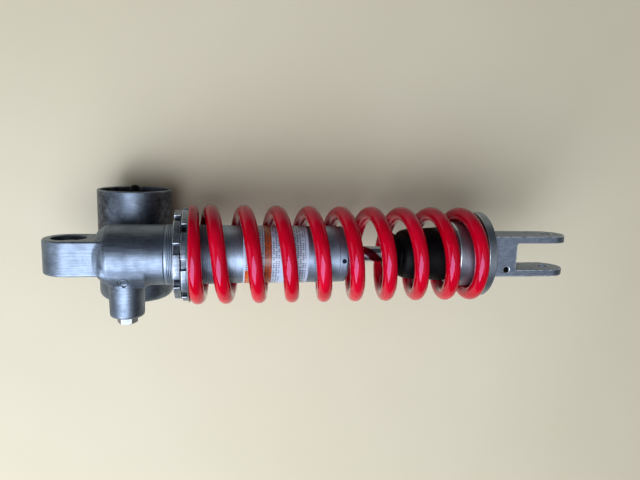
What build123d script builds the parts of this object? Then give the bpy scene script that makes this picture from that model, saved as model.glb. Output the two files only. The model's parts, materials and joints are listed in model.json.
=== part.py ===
"""Rear shock absorber: coil spring over a damper, with a cross-wise reservoir cast into its head.

The origin is the centre of the upper eye. X runs along the shock from the eye to the clevis, Y along
both mounting bores and Z away from the reservoir. All sizes are in millimetres.
"""
from build123d import *
from math import cos, pi, radians, sin
import os

# Clearances
RUNNING = 0.05
SEATED = 0.03
FREE = 0.4
FACE_GAP = 0.15

# Upper eye and its spherical bearing
EYE_R = 21.0
EYE_WIDTH = 29.4
EYE_EDGE = 1.2
RACE_R = 14.0
RACE_WIDTH = 16.0
BALL_R = 12.2
BALL_WIDTH = 18.0
SLEEVE_R = 8.0
SLEEVE_WIDTH = 23.0
UPPER_BOLT_R = 6.0
SNAP_RING = 1.2
SNAP_GROOVE = 1.0
SNAP_OVERLAP = 2.0
EYE_SNAP_OPENING = 7.0
SLEEVE_EDGE = 0.6

# Head casting
HEAD_R = 26.0
HEAD_START = 22.5
HEAD_NOSE = 8.5
HEAD_NOSE_DROP = 6.0
HEAD_END = 78.0
CROSS_X = 45.0
PAD_HALF = 17.3
PAD_TOP = 21.3
PAD_BREAK_Y = 14.5
PAD_FACE_Y = 26.5
PAD_SIDE = 13.0
PLUG_R = 4.0
PLUG_DEPTH = 3.0
PLUG_SINK = 0.3
OIL_WAY_R = 3.5
OIL_WAY_Y = -15.0

# Compression adjuster boss
BOSS_R = 15.2
BOSS_TIP_R = 14.4
BOSS_TIP_Y = 53.7
BOSS_EDGE = 3.0
VALVE_BORE_R = 10.0
VALVE_BORE_END = 10.0
HEX_ACROSS_FLATS = 15.0
HEX_HEIGHT = 6.2
LOW_SCREW_R = 3.2
LOW_SCREW_LENGTH = 15.0
LOW_SCREW_SINK = 0.6
SCREW_SLOT = 1.0
SCREW_SLOT_DEPTH = 1.4
NEEDLE_R = 1.8
NEEDLE_TAIL = 3.0
NEEDLE_POCKET = 6.0
NEEDLE_TIP_Y = -4.5
CARTRIDGE_FACE = 15.0
HIGH_SHANK = 14.0
CARTRIDGE_END_Y = -2.0
CARTRIDGE_GROOVE_Y = -25.8

# Reservoir
RESERVOIR_R = 33.6
RESERVOIR_Z = -60.0
RESERVOIR_WALL = 3.0
RESERVOIR_TOP = 51.0
RESERVOIR_BOTTOM = -52.0
RESERVOIR_FLOOR = 4.0
RESERVOIR_ROUND = 8.0
CAP_RECESS = 5.0
CAP_THICK = 9.0
WEB_HALF_X = 19.0
WEB_LOW_Y = -20.0
WEB_HIGH_Y = 24.0
SEAL_GROOVE = 2.4
SEAL_GROOVE_DEPTH = 2.2
SEAL_WIRE_R = 1.0
BAG_GAP = 4.0
BAG_WALL = 2.0
BAG_CLEAR_FLOOR = 9.0
CAP_RIM = 4.0
CAP_DISH = 1.2
CAP_SNAP_OPENING = 14.0
GAS_VALVE_R = 3.0
VALVE_CAP_R = 4.3
VALVE_CAP_TOP = 55.0

# Damper tube
TUBE_BORE_R = 23.0
THREAD_R = 26.0
THREAD_LENGTH = 59.5
TUBE_R = 25.25
TUBE_LENGTH = 148.5
TUBE_SOCKET = 18.0
SOCKET_R = 24.8
CHAMBER_DEPTH = 8.0
END_CAP_R = 25.0
END_CAP_LENGTH = 8.0
END_CAP_SPIGOT = 6.0
END_CAP_ROUND = 2.0
SPANNER_HOLES = 3
SPANNER_HOLE_R = 2.0
SPANNER_HOLE_DEPTH = 5.0
SPANNER_HOLE_IN = 3.6
SPANNER_HOLE_ANGLE = 4.0
TUBE_SNAP_INSET = 10.5
TUBE_SNAP_OPENING = 10.0
LABEL_START = 143.0
LABEL_LENGTH = 55.5
LABEL_THICK = 0.2

# Rod, piston and seal head
ROD_R = 7.0
ROD_BORE_R = 3.1
STUB_R = 5.0
ROD_SHOWN = 39.0
SEAL_HEAD_LENGTH = 18.0
BUSH_LENGTH = 10.5
BUSH_WALL = 1.2
ROD_SEAL_LENGTH = 4.9
ROD_SEAL_WALL = 5.0
HEAD_GROOVE_IN = 6.0
WIPER_WALL = 4.5
WIPER_POCKET = 6.0
PISTON_LENGTH = 16.0
PISTON_GAP = 12.5
BAND_LENGTH = 8.0
BAND_WALL = 1.4
PISTON_PORTS = 6
PORT_R = 2.6
PORT_CIRCLE_R = 13.0
SHIM_THICK = 0.7
SHIM_GAP = 0.05
STOP_WASHER = 2.0
STOP_WASHER_R = 11.0
SHIM_COUNT = 4
SHIM_R = 20.0
SHIM_STEP = 2.6
NUT_LENGTH = 7.0
NUT_ACROSS_FLATS = 17.0
TOP_OUT_R = 14.0

# Bump stop
BUMP_LENGTH = 57.0
BUMP_TIP_LOBE = 11.0
BUMP_TIP_R = 19.5
BUMP_NECK_R = 17.8
BUMP_LOBE_R = 22.8
BUMP_BASE_R = 25.0
BUMP_CUP = 1.5

# Spring, rings and lower seat
RING_START = 86.1
LOCK_RING_R = 38.5
LOCK_RING_THICK = 5.9
PRELOAD_RING_R = 40.0
PRELOAD_RING_THICK = 4.8
RING_GAP = 0.6
RING_NOTCHES = 8
NOTCH_WIDTH = 8.6
NOTCH_DEPTH = 3.4
LOCK_NOTCH_ANGLE = 72.5
PRELOAD_NOTCH_ANGLE = 91.7
SLIP_WASHER_THICK = 0.8
SLIP_SPIGOT = 5.0
SPRING_R = 43.5
WIRE_R = 6.5
SPRING_TURNS = 10.15
CLOSED_PITCH_GAP = 0.2
CLOSED_LEFT = 0.65
RAMP_LEFT = 0.8
CLOSED_RIGHT = 0.45
RAMP_RIGHT = 0.45
WIRE_TIP = 3.6
SPRING_PHASE = -101.0
SEAT_R = 39.5
SEAT_THICK = 7.9
SEAT_SPIGOT_LENGTH = 24.7
SEAT_SPIGOT_R = 30.0
SHANK_R = 15.0

# Clevis
CROWN_LENGTH = 30.5
CLEVIS_WIDTH = 38.4
CLEVIS_GAP = 25.0
CLEVIS_HALF_Z = 17.0
SLOT_DEPTH = 37.8
SLOT_ROUND = 2.0
CLEVIS_EDGE = 0.8
LOWER_BOLT_R = 5.0
REBOUND_SCREW_R = 4.0
REBOUND_BACK = 9.5
DETENT_Y = -12.4
DETENT_R = 2.8
DETENT_BALL_R = 1.7
DETENT_SPRING_R = 1.6
DETENT_WIRE_R = 0.3
DETENT_PITCH = 1.1
DETENT_TURNS = 3.5
DETENT_PLUG_SINK = 0.8
DETENT_SOCKET = 2.5
DETENT_SOCKET_DEPTH = 1.8
REBOUND_SCREW_SINK = 0.5
REBOUND_SLOT = 1.2
REBOUND_CONE_Y = 4.0

# Stations along the shock that follow from the sizes above
TUBE_END = HEAD_END + TUBE_LENGTH
BODY_END = TUBE_END + END_CAP_LENGTH
BUMP_START = BODY_END + ROD_SHOWN
BUMP_END = BUMP_START + BUMP_LENGTH
SHANK_FACE = BUMP_END + BUMP_CUP
SEAT_START = SHANK_FACE + 1.0
FLANGE_START = SEAT_START + SEAT_SPIGOT_LENGTH
FLANGE_END = FLANGE_START + SEAT_THICK
CLEVIS_START = FLANGE_END + FACE_GAP
SLOT_START = CLEVIS_START + CROWN_LENGTH
PIN_X = SLOT_START + SLOT_DEPTH
REBOUND_X = SLOT_START - REBOUND_BACK
ROD_END = REBOUND_X - REBOUND_SCREW_R - 4.0
PRELOAD_START = RING_START + LOCK_RING_THICK + RING_GAP
SLIP_START = PRELOAD_START + PRELOAD_RING_THICK + FACE_GAP
SPRING_START = SLIP_START + SLIP_WASHER_THICK
SEAL_HEAD_START = TUBE_END - TUBE_SNAP_INSET - SEAL_HEAD_LENGTH
TOP_OUT_END = SEAL_HEAD_START - FREE
SHOULDER_X = SEAL_HEAD_START - PISTON_GAP
REBOUND_SHIMS_X = SHOULDER_X - STOP_WASHER
PISTON_END = REBOUND_SHIMS_X - SHIM_THICK * SHIM_COUNT
PISTON_START = PISTON_END - PISTON_LENGTH
NUT_END = PISTON_START - SHIM_THICK * SHIM_COUNT
STUB_END = NUT_END - NUT_LENGTH - 1.0
CHAMBER_START = HEAD_END - TUBE_SOCKET - CHAMBER_DEPTH
CAP_TOP = RESERVOIR_TOP - CAP_RECESS
CAP_LOW = CAP_TOP - CAP_THICK
RESERVOIR_BORE_R = RESERVOIR_R - RESERVOIR_WALL


def turned(corners):
    """A solid turned about the shock's own axis, from corners given as (station, radius)."""
    return revolve(make_face(Polyline(*corners, close=True)), Axis.X)


def ring_x(start, end, outer, inner=0.0):
    """A plain ring or disc on the shock's axis."""
    return turned([(start, inner), (start, outer), (end, outer), (end, inner)])


def turned_across(corners, x, z):
    """A solid turned about a line along Y at (x, z), from corners given as (height, radius)."""
    outline = Polyline(*[(radius, height) for height, radius in corners], close=True)
    return Pos(x, 0, z) * revolve(make_face(outline), Axis.Y)


def ring_y(low, high, outer, inner, x, z):
    """A plain ring or disc about a line along Y."""
    return turned_across([(low, inner), (low, outer), (high, outer), (high, inner)], x, z)


def hex_across(low, high, across_flats, x, z):
    """A hexagonal bar along Y."""
    outline = Plane.XZ * RegularPolygon(across_flats / 2, 6, major_radius=False)
    return Pos(x, high, z) * extrude(outline, high - low)


def block(x0, x1, y0, y1, z0, z1):
    """A box given by its limits."""
    return Pos((x0 + x1) / 2, (y0 + y1) / 2, (z0 + z1) / 2) * Box(x1 - x0, y1 - y0, z1 - z0)


def wire_coil(radius, wire, turns, station, phase):
    """A round wire wound right-handed about X; station(t) is its place along X after t turns."""
    steps = int(turns * 12)
    points = []
    for i in range(steps + 1):
        t = turns * i / steps
        angle = radians(phase) + 2 * pi * t
        points.append((station(t), radius * cos(angle), radius * sin(angle)))
    path = Spline(*points)
    section = Plane(origin=path @ 0, z_dir=path % 0) * Circle(wire)
    return sweep(section, path=path, is_frenet=True)


# Upper eye

def eye_bearing_race():
    """The hard outer ring, hollowed to the ball."""
    race = ring_y(-RACE_WIDTH / 2, RACE_WIDTH / 2, RACE_R - SEATED, BALL_R - 2.0, 0, 0)
    return race - Sphere(BALL_R + RUNNING)


def eye_bearing_ball():
    """The ball, cut flat on both sides and bored for the sleeve."""
    flats = block(-BALL_R, BALL_R, -BALL_WIDTH / 2, BALL_WIDTH / 2, -BALL_R, BALL_R)
    bore = ring_y(-BALL_WIDTH, BALL_WIDTH, SLEEVE_R, 0, 0, 0)
    return (Sphere(BALL_R) & flats) - bore


def eye_sleeve():
    """The steel sleeve that the upper bolt passes through."""
    half = SLEEVE_WIDTH / 2
    outer = SLEEVE_R - RUNNING
    edge = SLEEVE_EDGE
    corners = [(-half, UPPER_BOLT_R), (-half, outer - edge), (-half + edge, outer)]
    corners += [(half - edge, outer), (half, outer - edge), (half, UPPER_BOLT_R)]
    return turned_across(corners, 0, 0)


def snap_ring_y(low, outer, inner, x, z, gap):
    """A snap ring about a line along Y, open towards +X."""
    ring = ring_y(low, low + SNAP_RING - FACE_GAP, outer, inner, x, z)
    return ring - block(x + inner / 2, x + outer + 1, low - 1, low + SNAP_RING + 1, z - gap / 2, z + gap / 2)


def eye_snap_rings():
    """The two rings that hold the race in the eye."""
    outer = RACE_R + SNAP_GROOVE - SEATED
    inner = RACE_R - SNAP_OVERLAP
    near_low = (RACE_WIDTH + FACE_GAP) / 2
    far_low = FACE_GAP / 2 - RACE_WIDTH / 2 - SNAP_RING
    near = snap_ring_y(near_low, outer, inner, 0, 0, EYE_SNAP_OPENING)
    far = snap_ring_y(far_low, outer, inner, 0, 0, EYE_SNAP_OPENING)
    return Compound(children=[near, far])


# Head casting

def eye_lug():
    """The eye's drum and the slab that joins it to the head."""
    half = EYE_WIDTH / 2
    rim = EYE_R - EYE_EDGE
    drum = turned_across([(-half, 0), (-half, rim), (-half + EYE_EDGE, EYE_R),
                          (half - EYE_EDGE, EYE_R), (half, rim), (half, 0)], 0, 0)
    outline = Polyline((-half, -rim), (-half + EYE_EDGE, -EYE_R), (half - EYE_EDGE, -EYE_R), (half, -rim),
                       (half, rim), (half - EYE_EDGE, EYE_R), (-half + EYE_EDGE, EYE_R), (-half, rim),
                       close=True)
    return drum + extrude(Plane.YZ * make_face(outline), HEAD_START + HEAD_NOSE)


def adjuster_boss():
    """The boss for the compression adjuster and the square pad at its root."""
    boss = turned_across([(-BOSS_TIP_Y, 0), (-BOSS_TIP_Y, BOSS_TIP_R - BOSS_EDGE),
                          (-BOSS_TIP_Y + 0.9, BOSS_TIP_R - 0.9), (-BOSS_TIP_Y + BOSS_EDGE, BOSS_TIP_R),
                          (-PAD_FACE_Y + 2, BOSS_R), (0, BOSS_R), (0, 0)], CROSS_X, 0)
    outline = Polyline((0, -PAD_TOP), (-PAD_BREAK_Y, -PAD_TOP), (-PAD_FACE_Y, -PAD_SIDE),
                       (-PAD_FACE_Y, PAD_SIDE), (-PAD_BREAK_Y, PAD_TOP), (0, PAD_TOP), close=True)
    pad = Pos(CROSS_X - PAD_HALF, 0, 0) * extrude(Plane.YZ * make_face(outline), 2 * PAD_HALF)
    return boss + pad


def reservoir_shell():
    """The outside of the reservoir, rounded at its closed end."""
    low = RESERVOIR_BOTTOM
    corners = [(low, 0), (low, RESERVOIR_R - RESERVOIR_ROUND)]
    for step in range(1, 8):
        turn = radians(90 * step / 8)
        corners.append((low + RESERVOIR_ROUND * (1 - cos(turn)),
                        RESERVOIR_R - RESERVOIR_ROUND * (1 - sin(turn))))
    corners += [(low + RESERVOIR_ROUND, RESERVOIR_R), (RESERVOIR_TOP - 0.8, RESERVOIR_R)]
    corners += [(RESERVOIR_TOP, RESERVOIR_R - 0.8), (RESERVOIR_TOP, 0)]
    return turned_across(corners, CROSS_X, RESERVOIR_Z)


def reservoir_bore():
    """The inside of the reservoir and the groove for its snap ring."""
    floor = RESERVOIR_BOTTOM + RESERVOIR_FLOOR
    bore = ring_y(floor, RESERVOIR_TOP + 1, RESERVOIR_BORE_R, 0, CROSS_X, RESERVOIR_Z)
    groove = ring_y(CAP_TOP, CAP_TOP + SNAP_RING, RESERVOIR_BORE_R + SNAP_GROOVE, 0, CROSS_X, RESERVOIR_Z)
    return bore + groove


def plug_place():
    """The middle of the pad's sloping face, looking out of it."""
    out = Vector(0, PAD_SIDE - PAD_TOP, PAD_FACE_Y - PAD_BREAK_Y)
    middle = (CROSS_X, -(PAD_BREAK_Y + PAD_FACE_Y) / 2, (PAD_TOP + PAD_SIDE) / 2)
    return Plane(origin=middle, x_dir=(1, 0, 0), z_dir=out)


def head_casting():
    """The eye, head, adjuster boss and reservoir, cast and bored in one piece."""
    nose_r = HEAD_R - HEAD_NOSE_DROP
    barrel = turned([(HEAD_START, 0), (HEAD_START, nose_r), (HEAD_START + HEAD_NOSE, HEAD_R),
                     (HEAD_END - 0.8, HEAD_R), (HEAD_END, HEAD_R - 0.8), (HEAD_END, 0)])
    web = block(CROSS_X - WEB_HALF_X, CROSS_X + WEB_HALF_X, WEB_LOW_Y, WEB_HIGH_Y,
                RESERVOIR_Z + RESERVOIR_R / 2, -HEAD_R / 2)
    casting = barrel + eye_lug() + adjuster_boss() + web + reservoir_shell()
    casting -= ring_y(-EYE_WIDTH, EYE_WIDTH, RACE_R, 0, 0, 0)
    grooves = RACE_WIDTH / 2 + SNAP_RING
    casting -= ring_y(-grooves, grooves, RACE_R + SNAP_GROOVE, 0, 0, 0) - ring_y(
        -RACE_WIDTH / 2, RACE_WIDTH / 2, RACE_R + 2 * SNAP_GROOVE, RACE_R, 0, 0)
    casting -= ring_x(CHAMBER_START, HEAD_END, TUBE_BORE_R)
    casting -= ring_x(HEAD_END - TUBE_SOCKET, HEAD_END + 1, SOCKET_R)
    casting -= ring_y(-BOSS_TIP_Y - 1, VALVE_BORE_END, VALVE_BORE_R, 0, CROSS_X, 0)
    casting -= reservoir_bore()
    bag_top = RESERVOIR_Z + RESERVOIR_BORE_R
    casting -= Pos(CROSS_X, OIL_WAY_Y, bag_top / 2) * Cylinder(OIL_WAY_R, RESERVOIR_WALL + 1 - bag_top)
    return casting - extrude(plug_place() * Circle(PLUG_R), -PLUG_DEPTH)


def passage_plug():
    """The pressed plug that closes a drilled oil passage."""
    face = plug_place().offset(-PLUG_SINK)
    return extrude(face * Circle(PLUG_R - SEATED), PLUG_SINK - PLUG_DEPTH)


# Compression adjuster

def compression_valve_body():
    """The valve cartridge in the boss, with a side hole to the reservoir passage."""
    low = CARTRIDGE_FACE - BOSS_TIP_Y
    outer = VALVE_BORE_R - SEATED
    bore = NEEDLE_R + 1.5
    seat = NEEDLE_R + 0.6
    groove_low = CARTRIDGE_GROOVE_Y - SEAL_GROOVE / 2
    groove_high = CARTRIDGE_GROOVE_Y + SEAL_GROOVE / 2
    floor = outer - SEAL_GROOVE_DEPTH
    end = CARTRIDGE_END_Y
    corners = [(low, bore), (low, outer), (groove_low, outer), (groove_low, floor), (groove_high, floor),
               (groove_high, outer), (end, outer), (end, seat), (end - 3.0, seat), (end - 5.0, bore)]
    body = turned_across(corners, CROSS_X, 0)
    return body - Pos(CROSS_X, OIL_WAY_Y, -VALVE_BORE_R / 2) * Cylinder(OIL_WAY_R - 0.5, VALVE_BORE_R + 4.0)


def compression_oring():
    """The seal ring in the cartridge's groove."""
    section = Pos(VALVE_BORE_R - SEAL_WIRE_R - 0.1, CARTRIDGE_GROOVE_Y) * Circle(SEAL_WIRE_R)
    return Pos(CROSS_X, 0, 0) * revolve(section, Axis.Y)


def high_speed_adjuster():
    """The hexagon that loads the high-speed valve, with its plain shank."""
    face = -BOSS_TIP_Y - FACE_GAP
    tip = face - HEX_HEIGHT
    hexagon = hex_across(tip, face, HEX_ACROSS_FLATS, CROSS_X, 0)
    corner = HEX_ACROSS_FLATS / 2 / cos(radians(30))
    bevel = turned_across([(tip, 0), (tip, corner - 1.6), (tip + 1.2, corner + 0.1),
                           (face, corner + 0.1), (face, 0)], CROSS_X, 0)
    shank = ring_y(face - 0.5, HIGH_SHANK - BOSS_TIP_Y, VALVE_BORE_R - RUNNING, 0, CROSS_X, 0)
    return (hexagon & bevel) + shank - ring_y(tip - 1, 0, LOW_SCREW_R, 0, CROSS_X, 0)


def low_screw_tip():
    """The height of the slotted screw's outer face."""
    return LOW_SCREW_SINK - BOSS_TIP_Y - FACE_GAP - HEX_HEIGHT


def low_speed_adjuster():
    """The slotted screw in the middle of the hexagon, hollow at its inner end for the needle's tail."""
    tip = low_screw_tip()
    end = tip + LOW_SCREW_LENGTH
    screw = ring_y(tip, end, LOW_SCREW_R - RUNNING, 0, CROSS_X, 0)
    screw -= ring_y(end - NEEDLE_POCKET, end + 1, NEEDLE_R + RUNNING, 0, CROSS_X, 0)
    half = SCREW_SLOT / 2
    slot_floor = tip + SCREW_SLOT_DEPTH
    return screw - block(CROSS_X - half, CROSS_X + half, tip - 1, slot_floor, -LOW_SCREW_R, LOW_SCREW_R)


def compression_needle():
    """The tapered needle that the slotted screw moves, its tail inside the screw."""
    tail = low_screw_tip() + LOW_SCREW_LENGTH - NEEDLE_TAIL
    tip = NEEDLE_TIP_Y
    corners = [(tail, 0), (tail, NEEDLE_R), (tip - 3.5, NEEDLE_R), (tip, 0.5), (tip, 0)]
    return turned_across(corners, CROSS_X, 0)


# Reservoir

def reservoir_cap():
    """The end cap of the reservoir, with a groove for its seal and a hole for the gas valve."""
    edge = RESERVOIR_BORE_R - SEATED
    middle = (CAP_LOW + CAP_TOP) / 2
    step = BAG_WALL
    half = SEAL_GROOVE / 2
    floor = edge - SEAL_GROOVE_DEPTH
    face = CAP_TOP - FACE_GAP
    dish = CAP_TOP - CAP_DISH
    corners = [(CAP_LOW, GAS_VALVE_R), (CAP_LOW, edge - step), (CAP_LOW + step, edge - step),
               (CAP_LOW + step, edge), (middle - half, edge), (middle - half, floor),
               (middle + half, floor), (middle + half, edge),
               (face, edge), (face, edge - CAP_RIM), (dish, edge - CAP_RIM - 1.0), (dish, GAS_VALVE_R)]
    return turned_across(corners, CROSS_X, RESERVOIR_Z)


def reservoir_oring():
    """The seal ring in the cap's groove."""
    section = Pos(RESERVOIR_BORE_R - SEAL_WIRE_R - FACE_GAP, (CAP_LOW + CAP_TOP) / 2) * Circle(SEAL_WIRE_R)
    return Pos(CROSS_X, 0, RESERVOIR_Z) * revolve(section, Axis.Y)


def reservoir_snap_ring():
    """The snap ring that holds the cap."""
    outer = RESERVOIR_BORE_R + SNAP_GROOVE - SEATED
    inner = RESERVOIR_BORE_R - SNAP_OVERLAP
    return snap_ring_y(CAP_TOP + FACE_GAP / 2, outer, inner, CROSS_X, RESERVOIR_Z, CAP_SNAP_OPENING)


def reservoir_bladder():
    """The rubber bag that keeps gas and oil apart, its lip held under the cap."""
    outer = RESERVOIR_BORE_R - BAG_GAP
    inner = outer - BAG_WALL
    low = RESERVOIR_BOTTOM + RESERVOIR_FLOOR + BAG_CLEAR_FLOOR
    lip = RESERVOIR_BORE_R - SEATED - BAG_WALL - 0.3
    neck = CAP_LOW - BAG_GAP
    top = CAP_LOW - FACE_GAP
    corners = [(low, 0), (low, outer - 4), (low + 4, outer), (neck, outer), (neck, lip), (top, lip),
               (top, inner), (low + 5, inner), (low + BAG_WALL, inner - 3), (low + BAG_WALL, 0)]
    return turned_across(corners, CROSS_X, RESERVOIR_Z)


def gas_valve():
    """The gas valve's stem and its collar inside the cap."""
    stem = GAS_VALVE_R - SEATED
    collar = GAS_VALVE_R + 2.0
    low = CAP_LOW - 3.0
    seat = CAP_LOW - FACE_GAP
    top = RESERVOIR_TOP - 0.5
    corners = [(low, 0), (low, collar), (seat, collar), (seat, stem), (top, stem), (top, 0)]
    return turned_across(corners, CROSS_X, RESERVOIR_Z)


def gas_valve_cap():
    """The small domed cap on the gas valve."""
    low = CAP_TOP - 1.0
    dome = VALVE_CAP_TOP - 2.6
    corners = [(low, GAS_VALVE_R), (low, VALVE_CAP_R), (dome, VALVE_CAP_R),
               (VALVE_CAP_TOP - 1.0, VALVE_CAP_R - 0.9),
               (VALVE_CAP_TOP - 0.2, VALVE_CAP_R - 2.3), (VALVE_CAP_TOP, 0), (RESERVOIR_TOP, 0),
               (RESERVOIR_TOP, GAS_VALVE_R)]
    return turned_across(corners, CROSS_X, RESERVOIR_Z)


# Damper tube and seal head

def damper_tube():
    """The tube: screwed into the head, threaded for the rings and plain below them."""
    spigot = SOCKET_R - SEATED
    thread_end = HEAD_END + THREAD_LENGTH
    groove = TUBE_END - TUBE_SNAP_INSET
    inner_end = HEAD_END - TUBE_SOCKET + FACE_GAP
    corners = [(inner_end, TUBE_BORE_R), (inner_end, spigot), (HEAD_END + FACE_GAP, spigot),
               (HEAD_END + FACE_GAP, THREAD_R - 0.8), (HEAD_END + FACE_GAP + 0.8, THREAD_R),
               (thread_end - 0.75, THREAD_R), (thread_end, TUBE_R), (TUBE_END, TUBE_R),
               (TUBE_END, TUBE_BORE_R),
               (groove + SNAP_RING, TUBE_BORE_R), (groove + SNAP_RING, TUBE_BORE_R + SNAP_GROOVE),
               (groove, TUBE_BORE_R + SNAP_GROOVE), (groove, TUBE_BORE_R)]
    return turned(corners)


def seal_head():
    """The guide for the rod, with a seat for its bush, a pocket for its seal and a groove outside."""
    start = SEAL_HEAD_START
    end = start + SEAL_HEAD_LENGTH - FACE_GAP
    outer = TUBE_BORE_R - SEATED
    groove = start + HEAD_GROOVE_IN
    groove_end = groove + SEAL_GROOVE + 0.2
    floor = outer - SEAL_GROOVE_DEPTH
    bush = ROD_R + BUSH_WALL
    pocket = ROD_R + ROD_SEAL_WALL
    pocket_start = end - ROD_SEAL_LENGTH - 0.1
    throat = ROD_R + 0.8
    corners = [(start, bush), (start, outer), (groove, outer), (groove, floor), (groove_end, floor),
               (groove_end, outer), (end, outer), (end, pocket), (pocket_start, pocket),
               (pocket_start, throat),
               (pocket_start - 2.0, throat), (pocket_start - 2.0, bush)]
    return turned(corners)


def seal_head_oring():
    """The seal ring between seal head and tube."""
    middle = SEAL_HEAD_START + HEAD_GROOVE_IN + SEAL_GROOVE / 2 + 0.1
    section = Pos(middle, TUBE_BORE_R - SEAL_WIRE_R - FACE_GAP) * Circle(SEAL_WIRE_R)
    return revolve(section, Axis.X)


def rod_bush():
    """The plain bearing that the rod slides in."""
    return ring_x(SEAL_HEAD_START, SEAL_HEAD_START + BUSH_LENGTH, ROD_R + BUSH_WALL - SEATED, ROD_R + RUNNING)


def rod_seal():
    """The lip seal that keeps the oil in."""
    end = SEAL_HEAD_START + SEAL_HEAD_LENGTH - FACE_GAP
    start = end - ROD_SEAL_LENGTH
    outer = ROD_R + ROD_SEAL_WALL - SEATED
    lip = ROD_R + RUNNING
    return turned([(start, lip + 2.2), (start, outer), (end, outer), (end, lip + 1.0), (end - 1.5, lip),
                   (end - 2.5, lip), (start + 0.8, lip + 2.2)])


def tube_snap_ring():
    """The snap ring that keeps the seal head in the tube."""
    start = TUBE_END - TUBE_SNAP_INSET + FACE_GAP / 2
    outer = TUBE_BORE_R + SNAP_GROOVE - SEATED
    ring = ring_x(start, start + SNAP_RING - FACE_GAP, outer, TUBE_BORE_R - SNAP_OVERLAP)
    half = TUBE_SNAP_OPENING / 2
    return ring - block(start - 1, start + SNAP_RING + 1, -half, half, TUBE_BORE_R / 2, outer + 1)


def tube_end_cap():
    """The ring that closes the tube, with three pin-spanner holes and a pocket for the wiper."""
    start = TUBE_END + FACE_GAP
    spigot = TUBE_END - END_CAP_SPIGOT
    bore = ROD_R + 1.5
    pocket = ROD_R + WIPER_WALL
    edge = END_CAP_ROUND
    outer = TUBE_BORE_R - SEATED
    corners = [(spigot, bore), (spigot, outer), (start, outer), (start, END_CAP_R)]
    for step in range(6):
        turn = radians(90 * step / 5)
        corners.append((BODY_END - edge + edge * sin(turn), END_CAP_R - edge + edge * cos(turn)))
    corners += [(BODY_END, pocket), (BODY_END - WIPER_POCKET, pocket), (BODY_END - WIPER_POCKET, bore)]
    cap = turned(corners)
    for i in range(SPANNER_HOLES):
        turn = SPANNER_HOLE_ANGLE + 360 / SPANNER_HOLES * i
        place = Pos(start + SPANNER_HOLE_IN, 0, END_CAP_R)
        cap -= Rot(turn, 0, 0) * place * Cylinder(SPANNER_HOLE_R, SPANNER_HOLE_DEPTH)
    return cap


def dust_wiper():
    """The wiper that keeps grit off the rod."""
    outer = ROD_R + WIPER_WALL - SEATED
    lip = ROD_R + RUNNING
    start = BODY_END - WIPER_POCKET + FACE_GAP
    return turned([(start, lip + 1.5), (start, outer), (BODY_END - 0.6, outer), (BODY_END - 0.6, lip + 2.2),
                   (BODY_END + 0.8, lip), (BODY_END - 0.8, lip), (BODY_END - 2.4, lip + 1.5)])


def body_label():
    """The printed film wrapped round the tube."""
    inner = TUBE_R + SEATED
    return ring_x(LABEL_START, LABEL_START + LABEL_LENGTH, inner + LABEL_THICK, inner)


# Rod and piston

def piston_rod():
    """The hollow rod with a thinner end for the piston."""
    corners = [(STUB_END, ROD_BORE_R), (STUB_END, STUB_R - 0.6), (STUB_END + 0.6, STUB_R),
               (SHOULDER_X, STUB_R),
               (SHOULDER_X, ROD_R), (ROD_END, ROD_R), (ROD_END, ROD_BORE_R)]
    return turned(corners)


def rebound_metering_rod():
    """The thin rod inside the hollow rod, tapered to a needle at the piston."""
    tip = STUB_END - 2.0
    outer = ROD_BORE_R - RUNNING
    return turned([(tip, 0), (tip, 0.8), (tip + 8.0, outer), (REBOUND_X - REBOUND_SCREW_R - 0.9, outer),
                   (REBOUND_X - REBOUND_SCREW_R - 0.9, 0)])


def piston():
    """The piston, drilled with six ports and grooved for its band."""
    outer = TUBE_BORE_R - FREE
    middle = (PISTON_START + PISTON_END) / 2
    half = BAND_LENGTH / 2
    groove = outer - BAND_WALL
    body = turned([(PISTON_START, STUB_R + SEATED), (PISTON_START, outer - 1), (PISTON_START + 1, outer),
                   (middle - half, outer), (middle - half, groove), (middle + half, groove),
                   (middle + half, outer),
                   (PISTON_END - 1, outer), (PISTON_END, outer - 1), (PISTON_END, STUB_R + SEATED)])
    for i in range(PISTON_PORTS):
        port = Pos(middle, 0, PORT_CIRCLE_R) * Rot(0, 90, 0) * Cylinder(PORT_R, PISTON_LENGTH + 2)
        body -= Rot(360 / PISTON_PORTS * i, 0, 0) * port
    return body


def piston_band():
    """The low-friction band round the piston."""
    middle = (PISTON_START + PISTON_END) / 2
    half = BAND_LENGTH / 2 - FACE_GAP
    inner = TUBE_BORE_R - FREE - BAND_WALL + SEATED
    return ring_x(middle - half, middle + half, TUBE_BORE_R - RUNNING, inner)


def shim_stack(face, way):
    """Thin washers of falling size, stacked from a piston face outwards."""
    shims = []
    for i in range(SHIM_COUNT):
        near = face + way * SHIM_THICK * i
        far = near + way * (SHIM_THICK - SHIM_GAP)
        shims.append(ring_x(min(near, far), max(near, far), SHIM_R - SHIM_STEP * i, STUB_R + SEATED))
    return Compound(children=shims)


def compression_shims():
    """The shims on the head side of the piston."""
    return shim_stack(PISTON_START - SHIM_GAP, -1)


def rebound_shims():
    """The shims on the rod side of the piston."""
    return shim_stack(PISTON_END + SHIM_GAP, 1)


def rebound_stop_washer():
    """The thick washer between the rebound shims and the rod's shoulder."""
    return ring_x(REBOUND_SHIMS_X + SHIM_GAP, SHOULDER_X - SHIM_GAP, STOP_WASHER_R, STUB_R + SEATED)


def piston_nut():
    """The nut that clamps piston and shims on the rod."""
    start = NUT_END - NUT_LENGTH
    outline = Plane.YZ * RegularPolygon(NUT_ACROSS_FLATS / 2, 6, major_radius=False)
    nut = Pos(start, 0, 0) * extrude(outline, NUT_LENGTH - SHIM_GAP)
    return nut - ring_x(start - 1, NUT_END + 1, STUB_R + SEATED)


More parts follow.
